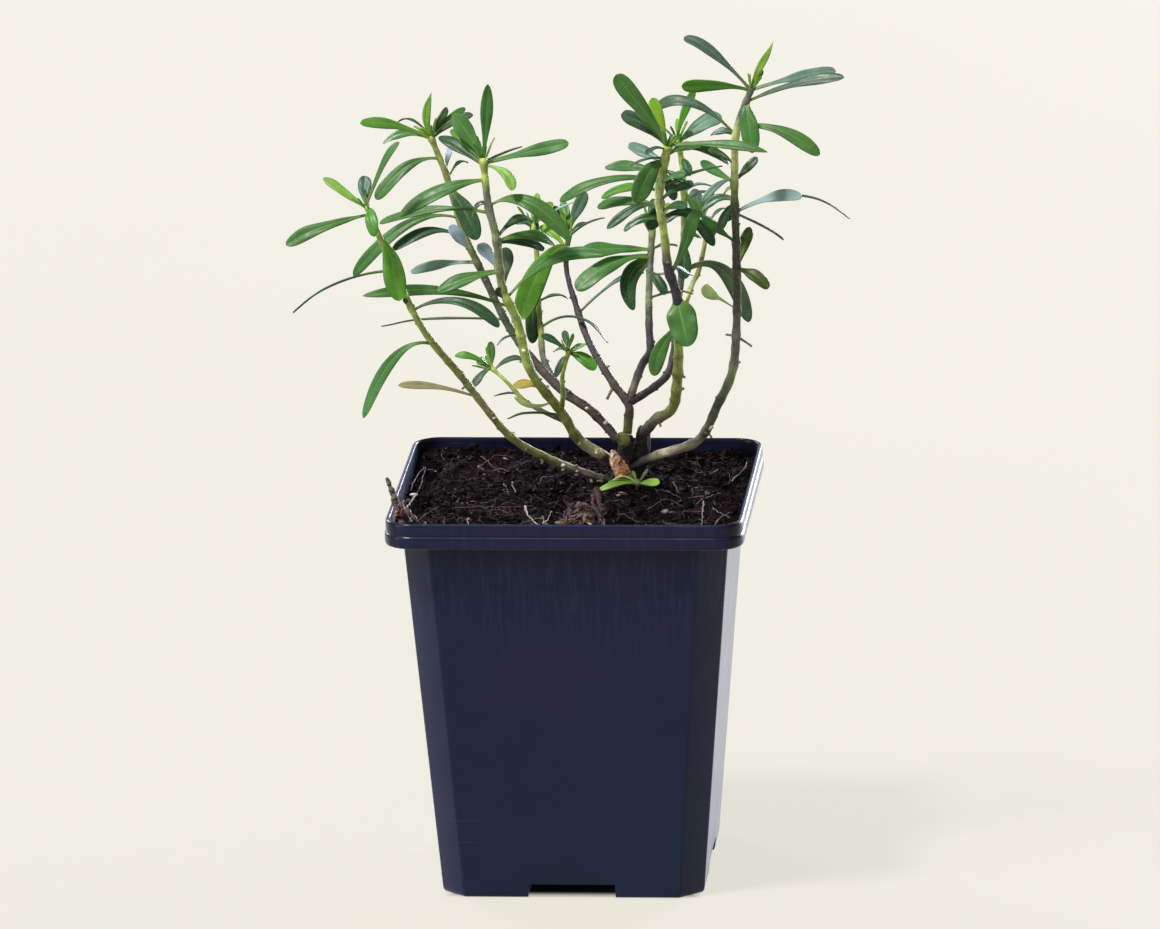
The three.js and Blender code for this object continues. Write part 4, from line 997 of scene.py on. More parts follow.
def add_tuft(skin, route, rng):
    """Young leaves round the growing tip, the smallest in the middle."""
    tip, before = np.array(route[-1], float), np.array(route[-2], float)
    ahead = unit(tip - before)
    aside = unit(np.cross(ahead, [0.2, 1, 0.1]))
    other = np.cross(ahead, aside)
    count = int(rng.integers(4, 7))
    for i in range(count):
        turn = i * GOLDEN_TURN + rng.uniform(-0.4, 0.4)
        spread = between(*TUFT_SPREADS, i / count) + rng.uniform(-0.08, 0.08)
        length = between(*TUFT_LENGTHS, i / count) * rng.uniform(0.85, 1.15)
        away = math.cos(turn) * aside + math.sin(turn) * other
        reach = length * unit(ahead + spread * away)
        width = np.linalg.norm(reach) * rng.uniform(0.2, 0.3)
        tone = pick(rng, ["young", "lime", "bright", "green"])
        start = tip - 0.6 * ahead + 0.3 * away
        add_blade(skin, start, reach, width, 0, unit(ahead - 0.4 * away), tone, rng)


# Stems


class Branch:
    """A stem or a side shoot: its curve, and its girth, bark and heading at any share of its length."""

    def __init__(self, route, radius, bark, leaves, marks=(), stubs=()):
        self.route, self.radius, self.bark = route, radius, bark
        self.leaves, self.marks, self.stubs = leaves, marks, stubs
        self.path = Path(route)

    def at(self, share):
        return self.path.at(share)

    def radius_at(self, share):
        return between(*self.radius, share)

    def ahead(self, share):
        return unit(self.at(min(share + 0.02, 1)) - self.at(max(share - 0.02, 0)))

    def tint(self, shares):
        """Bark colour at each share, blended between its stops."""
        colours = np.array([linear(BARK_TONES[tone]) for tone in self.bark.values()]) * BARK_GAIN
        colours = colours.clip(0, BARK_BRIGHTEST)
        tint = np.ones((len(shares), 4))
        for k in range(3):
            tint[:, k] = np.interp(shares, list(self.bark), colours[:, k])
        return tint


def add_wood(skin, branch, rng):
    """A branch's wood, thicker where leaves, stubs and scars sit, with uneven sides."""
    length = branch.path.length
    shares = np.linspace(0, 1, max(8, round(length / STEM_STEP)) + 1)
    radii = branch.radius_at(shares)
    nodes = [leaf[0] for leaf in branch.leaves] + [stub[0] for stub in branch.stubs]
    scars = list(np.arange(rng.uniform(3, 5), length * 0.75, SCAR_GAP) / length)
    for place in nodes + scars:
        radii = radii + NODE_SWELL * radii * bell((shares - place) * length, NODE_HALF)
    radii = radii * (1 - 0.25 * smooth((shares - 0.97) / 0.03))
    tint = branch.tint(shares)
    tint[:, :3] *= (1 + 0.1 * rng.standard_normal(len(shares)))[:, None].clip(0.75, 1.25)
    phase = rng.uniform(0, 6, 3)
    angles = np.linspace(0, 2 * math.pi, STEM_SIDES, endpoint=False)
    along = np.arange(len(shares))[:, None] * STEM_STEP
    wave = 0.035 * np.sin(2 * angles + along / 5 + phase[0])
    wave = wave + 0.03 * np.sin(3 * angles - along / 3 + phase[1])
    grain = 0.02 * rng.standard_normal((len(shares), STEM_SIDES))
    skin.tube(branch.at(shares), radii[:, None] * (1 + wave + grain), STEM_SIDES, tint)
    add_scars(skin, branch, scars, rng)
    add_marks(skin, branch, rng)
    for share, *reach, radius in branch.stubs:
        add_stub(skin, branch.at(share), np.array(reach), radius, branch.tint([share])[0], rng)


def add_scars(skin, branch, scars, rng):
    """Pale bumps in a spiral up the stem, where leaves have dropped."""
    points, faces = ball(2)
    turn = rng.uniform(0, 6)
    for share in scars:
        turn += GOLDEN_TURN
        ahead = branch.ahead(share)
        aside = unit(np.cross(ahead, [0.3, 0.2, 1]))
        out = math.cos(turn) * aside + math.sin(turn) * np.cross(ahead, aside)
        centre = branch.at(share) + out * branch.radius_at(share) * 0.98
        shape = (points * SCAR_HALF) @ np.array([out, np.cross(ahead, out), ahead]) * rng.uniform(0.8, 1.2)
        pale = between(branch.tint([share])[0, :3], linear(SCAR_TONE), rng.uniform(0.35, 0.8))
        skin.add(centre + shape, faces, (*pale, 1))


def add_marks(skin, branch, rng):
    """White scars on the side seen in front."""
    points, faces = ball(2)
    for share, high in branch.marks:
        ahead = branch.ahead(share)
        out = np.array([0, -math.sqrt(1 - high**2), high])
        out = unit(out - ahead * np.dot(out, ahead))
        shape = points * MARK_HALF * rng.uniform(0.8, 1.3)
        skin.add(branch.at(share) + out * branch.radius_at(share) + shape, faces, MARK_TINT)


def add_stub(skin, start, reach, radius, tint, rng):
    """Short stump of a leaf stalk or a side shoot, with a knob at its end."""
    rows, sides = 8, 9
    shares = np.linspace(0, 1, rows)
    drop = np.array([0, 0, -0.25]) * np.linalg.norm(reach) / 4
    points = start + shares[:, None] * reach + (shares**2)[:, None] * drop
    radii = radius * (1.15 - 0.5 * shares + 0.35 * bell(shares - 0.94, 0.08))
    pale = np.array([*between(tint[:3], linear(STUB_TONE), 0.6), 1])
    skin.tube(points, radii[:, None] * (1 + 0.06 * rng.standard_normal((rows, sides))), sides, pale)


def make_leafy_stem(name, branches, seed, wood_paint, blade_paint):
    rng = np.random.default_rng(seed)
    wood, leaves = Skin(), Skin()
    for row in branches:
        branch = Branch(**row)
        add_wood(wood, branch, rng)
        for share, *leaf in branch.leaves:
            add_leaf(leaves, branch.at(share), leaf, rng)
        add_tuft(leaves, branch.route, rng)
    settle(wood.piece(name + "_wood", wood_paint), name, slot="bark")
    settle(leaves.piece(name + "_leaves", blade_paint), name, slot="leaf")


# Pot


def cut_corner(half, corner):
    """First quarter of a square whose corner is cut off at 45 degrees, with the cut's edges rounded."""
    flat = half - corner
    points = [(half, 0), (half, flat - EDGE_RADIUS)]
    for edge, start in (((half, flat), 0), ((flat, half), 45)):
        middle = math.radians(start + 22.5)
        towards = np.array([math.cos(middle), math.sin(middle)])
        hub = np.array(edge) - EDGE_RADIUS / math.cos(math.radians(22.5)) * towards
        for share in (0, 1 / 3, 2 / 3, 1):
            angle = math.radians(start + 45 * share)
            points.append(tuple(hub + EDGE_RADIUS * np.array([math.cos(angle), math.sin(angle)])))
    return points + [(flat - EDGE_RADIUS, half)]


def round_corner(half, corner):
    """First quarter of a square with a round corner, and a point on the flat before and after it."""
    hub = half - corner
    points = [(half, 0), (half, hub - CORNER_LEAD)]
    for share in np.linspace(0, 1, 8):
        angle = math.radians(90 * share)
        points.append((hub + corner * math.cos(angle), hub + corner * math.sin(angle)))
    return points + [(hub - CORNER_LEAD, half)]


def all_round(quarter, z):
    ring = []
    for turn in range(4):
        c, s = round(math.cos(turn * math.pi / 2)), round(math.sin(turn * math.pi / 2))
        ring += [(c * x - s * y, s * x + c * y, z) for x, y in quarter]
    return ring


def body_size(z):
    """Half the body's width and its cut corner's size at a height."""
    share = z / UNDER_RIM
    return between(FOOT_HALF, BODY_TOP_HALF, share), between(FOOT_CORNER, BODY_CORNER, share)


def body_ring(z, inset):
    half, corner = body_size(z)
    return all_round(cut_corner(half - inset, corner - inset * (2 - math.sqrt(2))), z)


def rim_ring(z, inset):
    return all_round(round_corner(RIM_HALF - inset, RIM_CORNER - inset), z)


# The foot's rounded edge: height, how far its sides and its corners draw in
FOOT_EDGE = [(0, 8, 0), (0, 1.05, 0.4), (0.14, 0.36, 0.2), (0.5, 0.08, 0)]
# The walls, up the outside and down the inside: kind of ring, height that the rows count from,
# and rows of height above it and how far the ring draws in
WALLS = [
    (body_ring, 0, [(z, 0) for z in (1.1, 2.2, 12, 30, 50, 70, 85, 91)]),
    (body_ring, UNDER_RIM, [(-0.35, 0), (-0.05, -0.12)]),
    (rim_ring, UNDER_RIM, [(0, 2.6), (0, 0.75), (0.12, 0.32), (0.42, 0.06), (0.9, 0)]),
    (rim_ring, GROOVE, [(-0.9, 0), (-0.34, 0.03), (-0.12, 0.2), (0.06, 0.42), (0.26, 0.3)]),
    (rim_ring, GROOVE, [(0.6, 0.22)]),
    (rim_ring, POT_HEIGHT, [(-0.9, 0.24), (-0.36, 0.34), (-0.08, 0.58), (0, 0.85)]),
    (rim_ring, POT_HEIGHT, [(-0.06, 1.12), (-0.34, 1.3), (-1.2, 1.33)]),
    (rim_ring, UNDER_RIM + WALL, [(0.9, 1.35), (0.5, 1.6)]),
    (body_ring, UNDER_RIM, [(WALL, WALL), (-1, WALL)]),
    (body_ring, FLOOR, [(1, WALL), (0, WALL + 0.5)]),
]


def block(low, high):
    """Closed box between two corners, for cutting the pot."""
    (x0, y0, z0), (x1, y1, z1) = low, high
    skin = Skin()
    skin.loft([[(x1, y1, z), (x0, y1, z), (x0, y0, z), (x1, y0, z)] for z in (z0, z1)])
    return skin


def bar_pair(width, length, bottom, top):
    """Two blocks that cross in the middle of the pot."""
    return [
        block((-width / 2, -length / 2, bottom), (width / 2, length / 2, top)),
        block((-length / 2, -width / 2, bottom), (length / 2, width / 2, top)),
    ]


def drain_hole(x, y):
    skin = Skin()
    angles = np.linspace(0, 2 * math.pi, 28, endpoint=False)
    ring = np.stack([x + DRAIN_RADIUS * np.cos(angles), y + DRAIN_RADIUS * np.sin(angles)], -1)
    skin.loft([[(*p, z) for p in ring] for z in (-1, 3 * CHANNEL_HEIGHT)])
    return skin


def make_pot():
    rings = [all_round(cut_corner(FOOT_HALF - side, FOOT_CORNER - cut), z) for z, side, cut in FOOT_EDGE]
    for ring, base, rows in WALLS:
        rings += [ring(base + above, inset) for above, inset in rows]
    skin = Skin()
    skin.loft(rings)
    pot = skin.piece("nursery_pot", pot_paint("pot_plastic"))
    cover = bar_pair(CHANNEL_WIDTH + 2 * FLOOR, 2 * FOOT_HALF - WALL / 2, FLOOR / 2, CHANNEL_HEIGHT + FLOOR)
    shape_with(pot, cover, "UNION")
    shape_with(pot, bar_pair(CHANNEL_WIDTH, 2 * RIM_HALF, -1, CHANNEL_HEIGHT), "DIFFERENCE")
    places = [(0, 0), (DRAIN_REACH, 0), (-DRAIN_REACH, 0), (0, DRAIN_REACH), (0, -DRAIN_REACH)]
    shape_with(pot, [drain_hole(x, y) for x, y in places], "DIFFERENCE")
    bevel = pot.modifiers.new("edges", "BEVEL")
    bevel.width = MOULD_EDGE * MM
    bevel.segments = 2
    bevel.limit_method = "ANGLE"
    bevel.angle_limit = math.radians(62)
    bake_modifiers(pot)
    pot.data.shade_smooth()
    pot.data.set_sharp_from_angle(angle=math.radians(48))
    return settle(pot, "pot", slot="pot")


# Soil

# Heaps and hollows in the photo's places: height, middle, spread to the right and to the back
SOIL_FORMS = [
    (2.6, CROWN_AT, (13, 13)),
    (-2.3, (16, -27), (7, 6)),
    (0.9, (9, -13), (4.5, 5)),
]


def rough(x, y, z, scale):
    return noise.fractal(Vector((x / scale, y / scale, z)), 0.9, 2.1, 5)


def soil_height(x, y):
    """Height of the soil above a point: heaps and hollows, clods, a slope and a gully at the left wall."""
    height = SOIL_LEVEL + BROAD_LUMPS["high"] * rough(x, y, 0.0, BROAD_LUMPS["wide"])
    height += FINE_LUMPS["high"] * rough(x, y, 7.0, FINE_LUMPS["wide"])
    for high, middle, spread in SOIL_FORMS:
        height += high * bell(x - middle[0], spread[0]) * bell(y - middle[1], spread[1])
    clod = noise.voronoi(Vector((x / CLOD_WIDTH, y / CLOD_WIDTH, 0.4)))[0]
    height += 0.55 * (0.55 - clod[0]) + 0.35 * min(clod[1] - clod[0], 0.6)
    height -= WALL_SLOPE["deep"] * bell(x + RIM_HALF, WALL_SLOPE["wide"])
    from_gully = x - GULLY["x"] + 0.8 * math.sin(y / 4)
    gully_ends = smooth((GULLY["from_middle"] - abs(y + 2)) / 12)
    height -= GULLY["deep"] * bell(from_gully, GULLY["wide"]) * gully_ends
    lowest = UNDER_RIM + WALL + 0.7 + 0.3 * rough(x, y, 3.0, 2)
    return max(height, lowest)


def painted_soil_shade(x, y, z):
    """Painted shade on the soil, blackest where it lies low in the hollows; it also darkens the soil right
    of the crown and towards the back.
    """
    low = between(0.3, 1, smooth((z - SOIL_LEVEL + 1.9) / 2.6))
    (spot_x, spot_y), (wide, long) = DARK_SPOT["at"], DARK_SPOT["spread"]
    right = 1 - 0.5 * bell(x - spot_x, wide) * bell(y - spot_y, long)
    behind = 1 - 0.3 * smooth((x - 2) / 12) * smooth((y - 2) / 14)
    return low * right * behind


def on_soil(x, y, above):
    return [x, y, soil_height(x, y) + above]


def squared(u, v):
    """Point of a square of half side 1 with rounded corners, for a point of the soil's grid."""
    reach = max(abs(u), abs(v))
    if reach < 1e-6:
        return 0.0, 0.0
    corner = RIM_CORNER / SOIL_HALF
    x, y = u / reach, v / reach
    flat = 1 - corner
    if abs(x) > flat and abs(y) > flat:
        dx, dy = abs(x) - flat, abs(y) - flat
        long = math.hypot(dx, dy)
        x = math.copysign(flat + corner * dx / long, x)
        y = math.copysign(flat + corner * dy / long, y)
    blend_in = smooth((reach - 0.6) / 0.4)
    return between(u, x * reach, blend_in), between(v, y * reach, blend_in)


def inside_wall(x, y, z):
    """How much a point of the soil's edge draws in to lie against the pot's wall at a height."""
    half, corner = body_size(z)
    half -= WALL + SOIL_GAP
    x, y = abs(x), abs(y)
    return min(half / max(x, y), (2 * half - corner) / (x + y))


def make_soil(paint):
    """The bed of soil: a grid on top, sides down the pot's walls, and room for the raised channel."""
    steps = np.linspace(-1, 1, SOIL_CELLS + 1)
    spots = [squared(u, v) for v in steps for u in steps]
    points = [on_soil(u * SOIL_HALF, v * SOIL_HALF, 0) for u, v in spots]
    grid = np.arange(len(points)).reshape(SOIL_CELLS + 1, SOIL_CELLS + 1)
    cells = np.stack([grid[:-1, :-1], grid[:-1, 1:], grid[1:, 1:], grid[1:, :-1]], -1)
    faces = cells.reshape(-1, 4).tolist()
    edge = [*grid[0, :-1], *grid[:-1, -1], *grid[-1, :0:-1], *grid[:0:-1, 0]]
    edge = [int(k) for k in edge]
    ledge = UNDER_RIM + WALL
    above = edge
    for z in (ledge + 0.6, ledge + 0.1, 60, 30, FLOOR + SOIL_GAP):
        ring = list(range(len(points), len(points) + len(edge)))
        for k in edge:
            x, y, _ = points[k]
            reach = 1.0 if z > ledge + 0.3 else inside_wall(x, y, z)
            points.append((x * reach, y * reach, z))
        for k in range(len(edge)):
            after = (k + 1) % len(edge)
            faces.append([above[k], ring[k], ring[after], above[after]])
        above = ring
    centre = len(points)
    points.append((0, 0, FLOOR + SOIL_GAP))
    faces += [[above[(k + 1) % len(above)], above[k], centre] for k in range(len(above))]
    # Painted shade in the bed's tint, darkest in the hollows
    shade = np.array([painted_soil_shade(*point) for point in points])
    skin = Skin()
    skin.add(points, faces, np.stack([shade, shade, shade, np.ones(len(points))], 1))
    bed = skin.piece("soil_bed", paint)
    cover = CHANNEL_WIDTH + 2 * (FLOOR + SOIL_GAP)
    top = CHANNEL_HEIGHT + FLOOR + SOIL_GAP
    shape_with(bed, bar_pair(cover, 2 * RIM_HALF, 0, top), "DIFFERENCE")
    return settle(bed, "soil", slot="soil")


def make_crumbs(paint):
    """Loose crumbs of peat and bark, the first ones large, a few of the small ones pale."""
    rng = np.random.default_rng(31)
    skin = Skin()
    coarse, fine = ball(1), ball(2)
    tones = [linear(tone) for tone in ("#ffdcf4", "#c49cae", "#f8c0c8", "#907a98", "#ffd0dc")]
    flat, corner = 36, 7
    for i in range(CRUMBS):
        large = i < LARGE_CRUMBS
        size = rng.uniform(*LARGE_CRUMB_SIZES if large else SMALL_CRUMB_SIZES)
        x, y = rng.uniform(-SOIL_HALF + 1, SOIL_HALF - 1, 2)
        over = min(abs(x), abs(y)) - flat
        if over > 0 and math.hypot(abs(x) - flat, abs(y) - flat) > corner:
            continue
        points, faces = fine if large else coarse
        stretch = rng.uniform(0.4, 1.3, 3)
        turn = random_turn(rng, 6)
        lumps = 1 + rng.uniform(-0.34, 0.34, (len(points), 1))
        shape = (points * lumps * stretch * size) @ turn
        tint = pick(rng, tones) * rng.uniform(0.5, 1.0 if large else 2.4)
        _, _, z = on_soil(x, y, 0)
        # Each crumb takes the painted shade of the soil where it lies
        skin.add(shape + [x, y, z + 0.25 * size], faces, (*tint * painted_soil_shade(x, y, z), 1))
    return settle(skin.piece("soil_crumbs", paint, flat=True), slot="soil")


def add_fibre(skin, route, radius, tint, rng, sides=5):
    path = Path(route)
    shares = np.linspace(0, 1, max(8, round(path.length / 0.9)))
    points = path.at(shares)
    points = points + 0.12 * rng.standard_normal(points.shape)
    skin.tube(points, radius * (1 - 0.5 * shares) * (1 + 0.2 * np.sin(9 * shares)), sides, (*tint, 1))


# Threads that can be told apart on the soil: points (right, back, above the soil), radius, colour
NAMED_FIBRES = [
    ([(-30.7, 36, 0.4), (-26, 31, 1), (-22, 24, 0.7), (-19.3, 17, 0.5)], 0.17, "#7d6668"),
    ([(-25, 31, 0.5), (-22, 33, 1.2), (-18, 32, 0.5)], 0.12, "#6d5a5e"),
    ([(33, -11.6, 0.4), (33.6, -22, 1.3), (34.2, -33, 0.4)], 0.17, "#a8a2ae"),
    ([(33.6, -12, 1.2), (36, -8, 1.4), (37, -4, 0.8)], 0.1, "#8d8690"),
    ([(38.5, 10.7, 0.5), (41, 16, 1.8), (42, 20, 2.2)], 0.2, "#b5aeb2"),
    ([(37, -33, 0.3), (39, -28, 0.9), (41.6, -20.4, 0.6)], 0.16, "#938890"),
    ([(-16.6, 7.5, 0.9), (-16.2, 2, 1.8), (-14.6, -6.3, 0.8)], 0.15, "#b9b2b0"),
    ([(-18.5, 4, 0.8), (-17.5, -1, 1.5), (-16.4, -5.5, 0.6)], 0.12, "#a19896"),
    ([(-11.5, -16.3, 0.9), (-10.4, -24.2, 1.3), (-8.6, -30.2, 0.9), (-6.6, -33.1, 0.7)], 0.24, "#d2cdc6"),
    ([(-5.2, -32.1, 0.5), (-4.6, -30, 1.1), (-4.2, -26.1, 1.4)], 0.17, "#dcd7d2"),
    ([(-5.8, -32.4, 0.5), (-5.6, -31, 0.9), (-6.2, -29.6, 1.1)], 0.13, "#c9c3be"),
    ([(-24.9, -27.4, 0.6), (-24.6, -31, 1.2), (-24.2, -35.3, 0.8)], 0.2, "#b3a9a8"),
    ([(5.7, -4, 0.4), (6.9, -14, 0.9), (8.6, -25.9, 0.9), (9.5, -33.8, 0.4)], 0.85, "#4a3331"),
    ([(4.9, -7, 0.2), (5.6, -15, 0.7), (6.4, -24, 0.6), (6.2, -33, 0.3)], 0.5, "#5c403a"),
    ([(-41.6, -24, 0.8), (-41.2, -14, 1.6), (-40.6, -2, 1.2)], 0.34, "#cfcbd8"),
    ([(-42.4, 5, 0.8), (-41.8, 15, 1.9), (-40.6, 26, 1.4), (-40, 14, 1.8), (-40.2, 2, 0.8)], 0.14,
     "#8a88a2"),
    ([(-35, -17, 0.4), (-24, -19, 1.1), (-14, -16, 0.6), (-9, -15, 0.4)], 0.14, "#77605c"),
    ([(-38, -25, 0.5), (-33, -22, 1.3), (-29, -20, 0.5)], 0.13, "#6f5c5e"),
    ([(-36, -31, 0.5), (-35, -34, 1.1), (-35.4, -38, 0.6)], 0.16, "#938785"),
    ([(17, -8, 0.6), (22, -6, 1), (28, -9, 0.5)], 0.13, "#6d5f66"),
    ([(19, -16, 0.6), (24, -14, 1), (28, -15.5, 0.6)], 0.12, "#75696d"),
    ([(24, -33, 0.4), (31, -34, 0.9), (37, -31, 0.5)], 0.12, "#6d6066"),
    ([(4, -6, 0.4), (-1, -12, 1), (-6, -15, 0.4)], 0.15, "#6b5552"),
    ([(36, -20, 0.6), (38.5, -26, 1.5), (41, -29, 0.8)], 0.14, "#8b7f88"),
]
THREAD_TONES = ("#35252d", "#4a373a", "#5c4647", "#2a1e25", "#7b6a6a", "#3a2a30", "#4f3c40", "#9d9093")
THREAD_STEP = 2.6
THREAD_LIMIT = 40.5


def make_fibres(paint):
    """Root threads: those seen in the photo, and short loose ones that wander over the soil."""
    rng = np.random.default_rng(47)
    skin = Skin()
    for places, radius, tone in NAMED_FIBRES:
        add_fibre(skin, [on_soil(*place) for place in places], radius, linear(tone), rng, 7)
    for _ in range(FIBRES):
        x, y = rng.uniform(-40, 40, 2)
        angle = rng.uniform(0, 2 * math.pi)
        route = []
        for _ in range(4):
            x, y = np.clip([x, y], -THREAD_LIMIT, THREAD_LIMIT)
            route.append(on_soil(x, y, rng.uniform(0, 0.9)))
            x += THREAD_STEP * math.cos(angle) * rng.uniform(0.4, 1.2)
            y += THREAD_STEP * math.sin(angle) * rng.uniform(0.4, 1.2)
            angle += rng.uniform(-1, 1)
        add_fibre(skin, route, rng.uniform(0.05, 0.14), linear(pick(rng, THREAD_TONES)), rng)
    return settle(skin.piece("soil_fibres", paint), slot="fibre")


# Chips that can be told apart on the soil: right, back, half length, colour
NAMED_CHIPS = [
    (-38.1, 24.9, 1.0, "#d9d4d0"), (-20.5, 33, 0.8, "#b9b2ae"), (-41.2, 1, 1.2, "#f0eef4"),
    (5.4, -32.4, 1.5, "#dcb894"), (1.6, -33.4, 1.2, "#a98a74"), (-0.8, -31, 2.2, "#7c6152"),
    (8.2, -34.6, 0.7, "#c7b3a0"), (7.5, 3, 0.9, "#b9c26a"), (9.6, 2.2, 0.8, "#c8cf86"),
    (6.2, 0.6, 0.9, "#d2d59a"), (12.4, -5.5, 1.3, "#8d8178"), (11.2, -8.6, 0.9, "#a19a80"),
    (13.6, -3.4, 0.9, "#77695c"), (24, -20, 1.1, "#8f8c92"), (25.6, -21, 0.8, "#7a7680"),
]


def make_chips(paint):
    """Pale flakes of wood and grit, some where the photo shows them."""
    rng = np.random.default_rng(59)
    skin = Skin()
    points, faces = ball(2)
    loose = [(*rng.uniform(-39, 39, 2), rng.uniform(0.25, 0.6), "#83777a") for _ in range(LOOSE_CHIPS)]
    for x, y, size, tone in NAMED_CHIPS + loose:
        turn = random_turn(rng, 0.7, -0.7)
        lumps = 1 + rng.uniform(-0.16, 0.16, (len(points), 1))
        shape = (points * lumps * [size, size * rng.uniform(0.5, 0.8), size * 0.35]) @ turn
        skin.add(shape + on_soil(x, y, 0.3 + 0.2 * size), faces, (*linear(tone), 1))
    return settle(skin.piece("pale_chips", paint), slot="fibre")


# Rootstock and what lies at its foot

# Limbs and roots, from the crown: route, radii along it
ROOT_RADII = [1.9, 1.2, 0.7]
ROOTSTOCK = [
    ([[0.6, 0, -14], [1, 0, 0], [1.6, 0, 7], [2, 1, 13.4]], [2.6, 3.9, 2.7, 1.5]),
    ([[2, 0, -3], [5, 2.5, 6], [6.5, 2.5, 15]], [2.6, 2.2, 1.8]),
    ([[0, 0, -10], [4, 2, -16], [9, 5, -34]], ROOT_RADII),
    ([[0, 0, -10], [-3, 6, -16], [-7, 12, -38]], ROOT_RADII),
    ([[0, 0, -10], [-6, -3, -16], [-12, -7, -33]], ROOT_RADII),
    ([[0, 0, -10], [2, -6, -16], [4, -13, -36]], ROOT_RADII),
]
KNOB_AT = np.array([12.1, 2, 110])
KNOB_SIZE = [1.6, 1.6, 2.2]
KNOB_BUD_AT = [-0.9, -0.4, 0.8]
KNOB_BUD_SIZE = 1.1
TRUNK_GRAIN = 0.36
TRUNK_TONE = "#2b1820"
TRUNK_FRONT_TONE = "#4d3632"
KNOB_TONE = "#8f9a50"


def make_rootstock(paint):
    """Dark woody trunk with its limbs and roots grown together in one skin, and a green knob on a limb."""
    skin = Skin()
    shares = np.linspace(0, 1, 26)
    for route, radii in ROOTSTOCK:
        skin.tube(Path(np.array(route) + CROWN_AT).at(shares), sizes_along(radii, shares), 20)
    points, faces = ball(3)
    skin.add(points * KNOB_SIZE + KNOB_AT, faces)
    skin.add(points * KNOB_BUD_SIZE + KNOB_AT + KNOB_BUD_AT, faces)
    trunk = skin.piece("rootstock", paint)
    remesh = trunk.modifiers.new("one_skin", "REMESH")
    remesh.mode = "VOXEL"
    remesh.voxel_size = TRUNK_GRAIN * MM
    bake_modifiers(trunk)
    points = roughened(trunk, depth=0.42, across=2.2, along=5.5)
    away = np.linalg.norm((points - KNOB_AT) / KNOB_SIZE, axis=1)
    green = 1 - smooth((away - 1.0) / 0.7)
    colours = between(linear(TRUNK_TONE), linear(KNOB_TONE), green[:, None])
    front = smooth((106.5 - points[:, 2]) / 3) * smooth((3.5 - points[:, 1]) / 3)
    colours = between(colours, linear(TRUNK_FRONT_TONE), 0.4 * front[:, None])
    rolled = np.stack([points[:, 0] / 3, points[:, 2], points[:, 1] / 3], -1)
    write_values(trunk.data, np.hstack([colours, np.ones((len(colours), 1))]), rolled)
    trunk.data.shade_smooth()
    return settle(trunk, "crown", slot="bark")


def roughened(piece, depth, across, along):
    """Moves a piece's skin in and out along its normals, in ridges that run up and down."""
    vertices = piece.data.vertices
    points, normals = np.empty(len(vertices) * 3), np.empty(len(vertices) * 3)
    vertices.foreach_get("co", points)
    vertices.foreach_get("normal", normals)
    points, normals = points.reshape(-1, 3) / MM, normals.reshape(-1, 3)
    lift = [noise.fractal(Vector((x / across, y / across, z / along)), 0.8, 2.2, 5) for x, y, z in points]
    points = points + normals * (depth * np.array(lift))[:, None]
    vertices.foreach_set("co", (points * MM).ravel())
    piece.data.update()
    return points


# Height, left edge and right edge of the flake, from its foot to its pointed top
FLAKE_OUTLINE = [(100.2, 10.4, 13), (101.4, 10, 14.3), (102.7, 9.5, 14), (104, 9, 13.2),
                 (105.3, 8.7, 12.3), (106.6, 8.7, 11.1), (108, 9.2, 9.9)]
# Its sheets: how far each lies in front, how its left and right edges shift, its height, and its
# brightness, a painted light that lifts each sheet by its own amount
FLAKE_SHEETS = [(0.0, 0, 0, 1, 1.5), (0.5, 0.3, -1.5, 0.8, 2.3), (0.9, 2.1, -0.3, 0.5, 2.0)]
FLAKE_COLUMNS = 15
FLAKE_BULGE = 0.9
FLAKE_LEAN = 0.15
FLAKE_MIDDLE = 103.4
FLAKE_FRONT = -0.35


def make_bark_curl(paint):
    """Curled sheets of loose bark, lying on each other against the trunk, lightened with painted light and
    darker behind with painted shade.
    """
    rng = np.random.default_rng(83)
    skin = Skin()
    outline = curve_through(FLAKE_OUTLINE, 6)
    middle_z = outline[:, 0].mean()
    bulge = FLAKE_BULGE * np.sin(np.linspace(0.25, math.pi - 0.1, FLAKE_COLUMNS))
    for lift, left, right, shrink, shade in FLAKE_SHEETS:
        rings, colours = [], []
        for z, x0, x1 in outline:
            z = middle_z + (z - middle_z) * shrink
            x0 = x0 + left + rng.uniform(-0.16, 0.16)
            x1 = x1 + right + rng.uniform(-0.22, 0.22)
            xs = np.linspace(x0, max(x1, x0 + 0.5), FLAKE_COLUMNS)
            y = FLAKE_FRONT - lift - bulge + FLAKE_LEAN * (z - FLAKE_MIDDLE)
            y = y + 0.14 * rng.standard_normal(FLAKE_COLUMNS)
            front = [(x, v - 0.2, z) for x, v in zip(xs, y)]
            back = [(x, v + 0.25, z) for x, v in zip(xs[::-1], y[::-1])]
            rings.append(front + back)
            # Each sheet's colours are raised by its painted light, and its back is darkened by painted
            # shade
            row = flake_colours(xs, z, rng) * shade
            colours.append(np.vstack([row, row[::-1] * 0.6]))
        tint = np.ones((len(rings), 2 * FLAKE_COLUMNS, 4))
        tint[..., :3] = np.array(colours)
        skin.loft(rings, tint)
    return settle(skin.piece("bark_curl", paint), "bark_flake", slot="bark_flake")


def flake_colours(xs, z, rng):
    """Colours across a sheet at a height: pale at the top left, orange at the right foot, darker spots."""
    pale = smooth((z - 102.5) / 4) * smooth((12.2 - xs) / 2.4)
    orange = 0.7 * smooth((103.5 - z) / 2) * smooth((xs - 11.5) / 1.5)
    dark = smooth((rng.standard_normal(FLAKE_COLUMNS) - 1.2) / 1.6)
    row = between(linear("#cf9c76"), linear("#f6dfd0"), pale[:, None])
    row = between(row, linear("#e2b27c"), orange[:, None])
    return between(row, linear("#84523a"), dark[:, None])


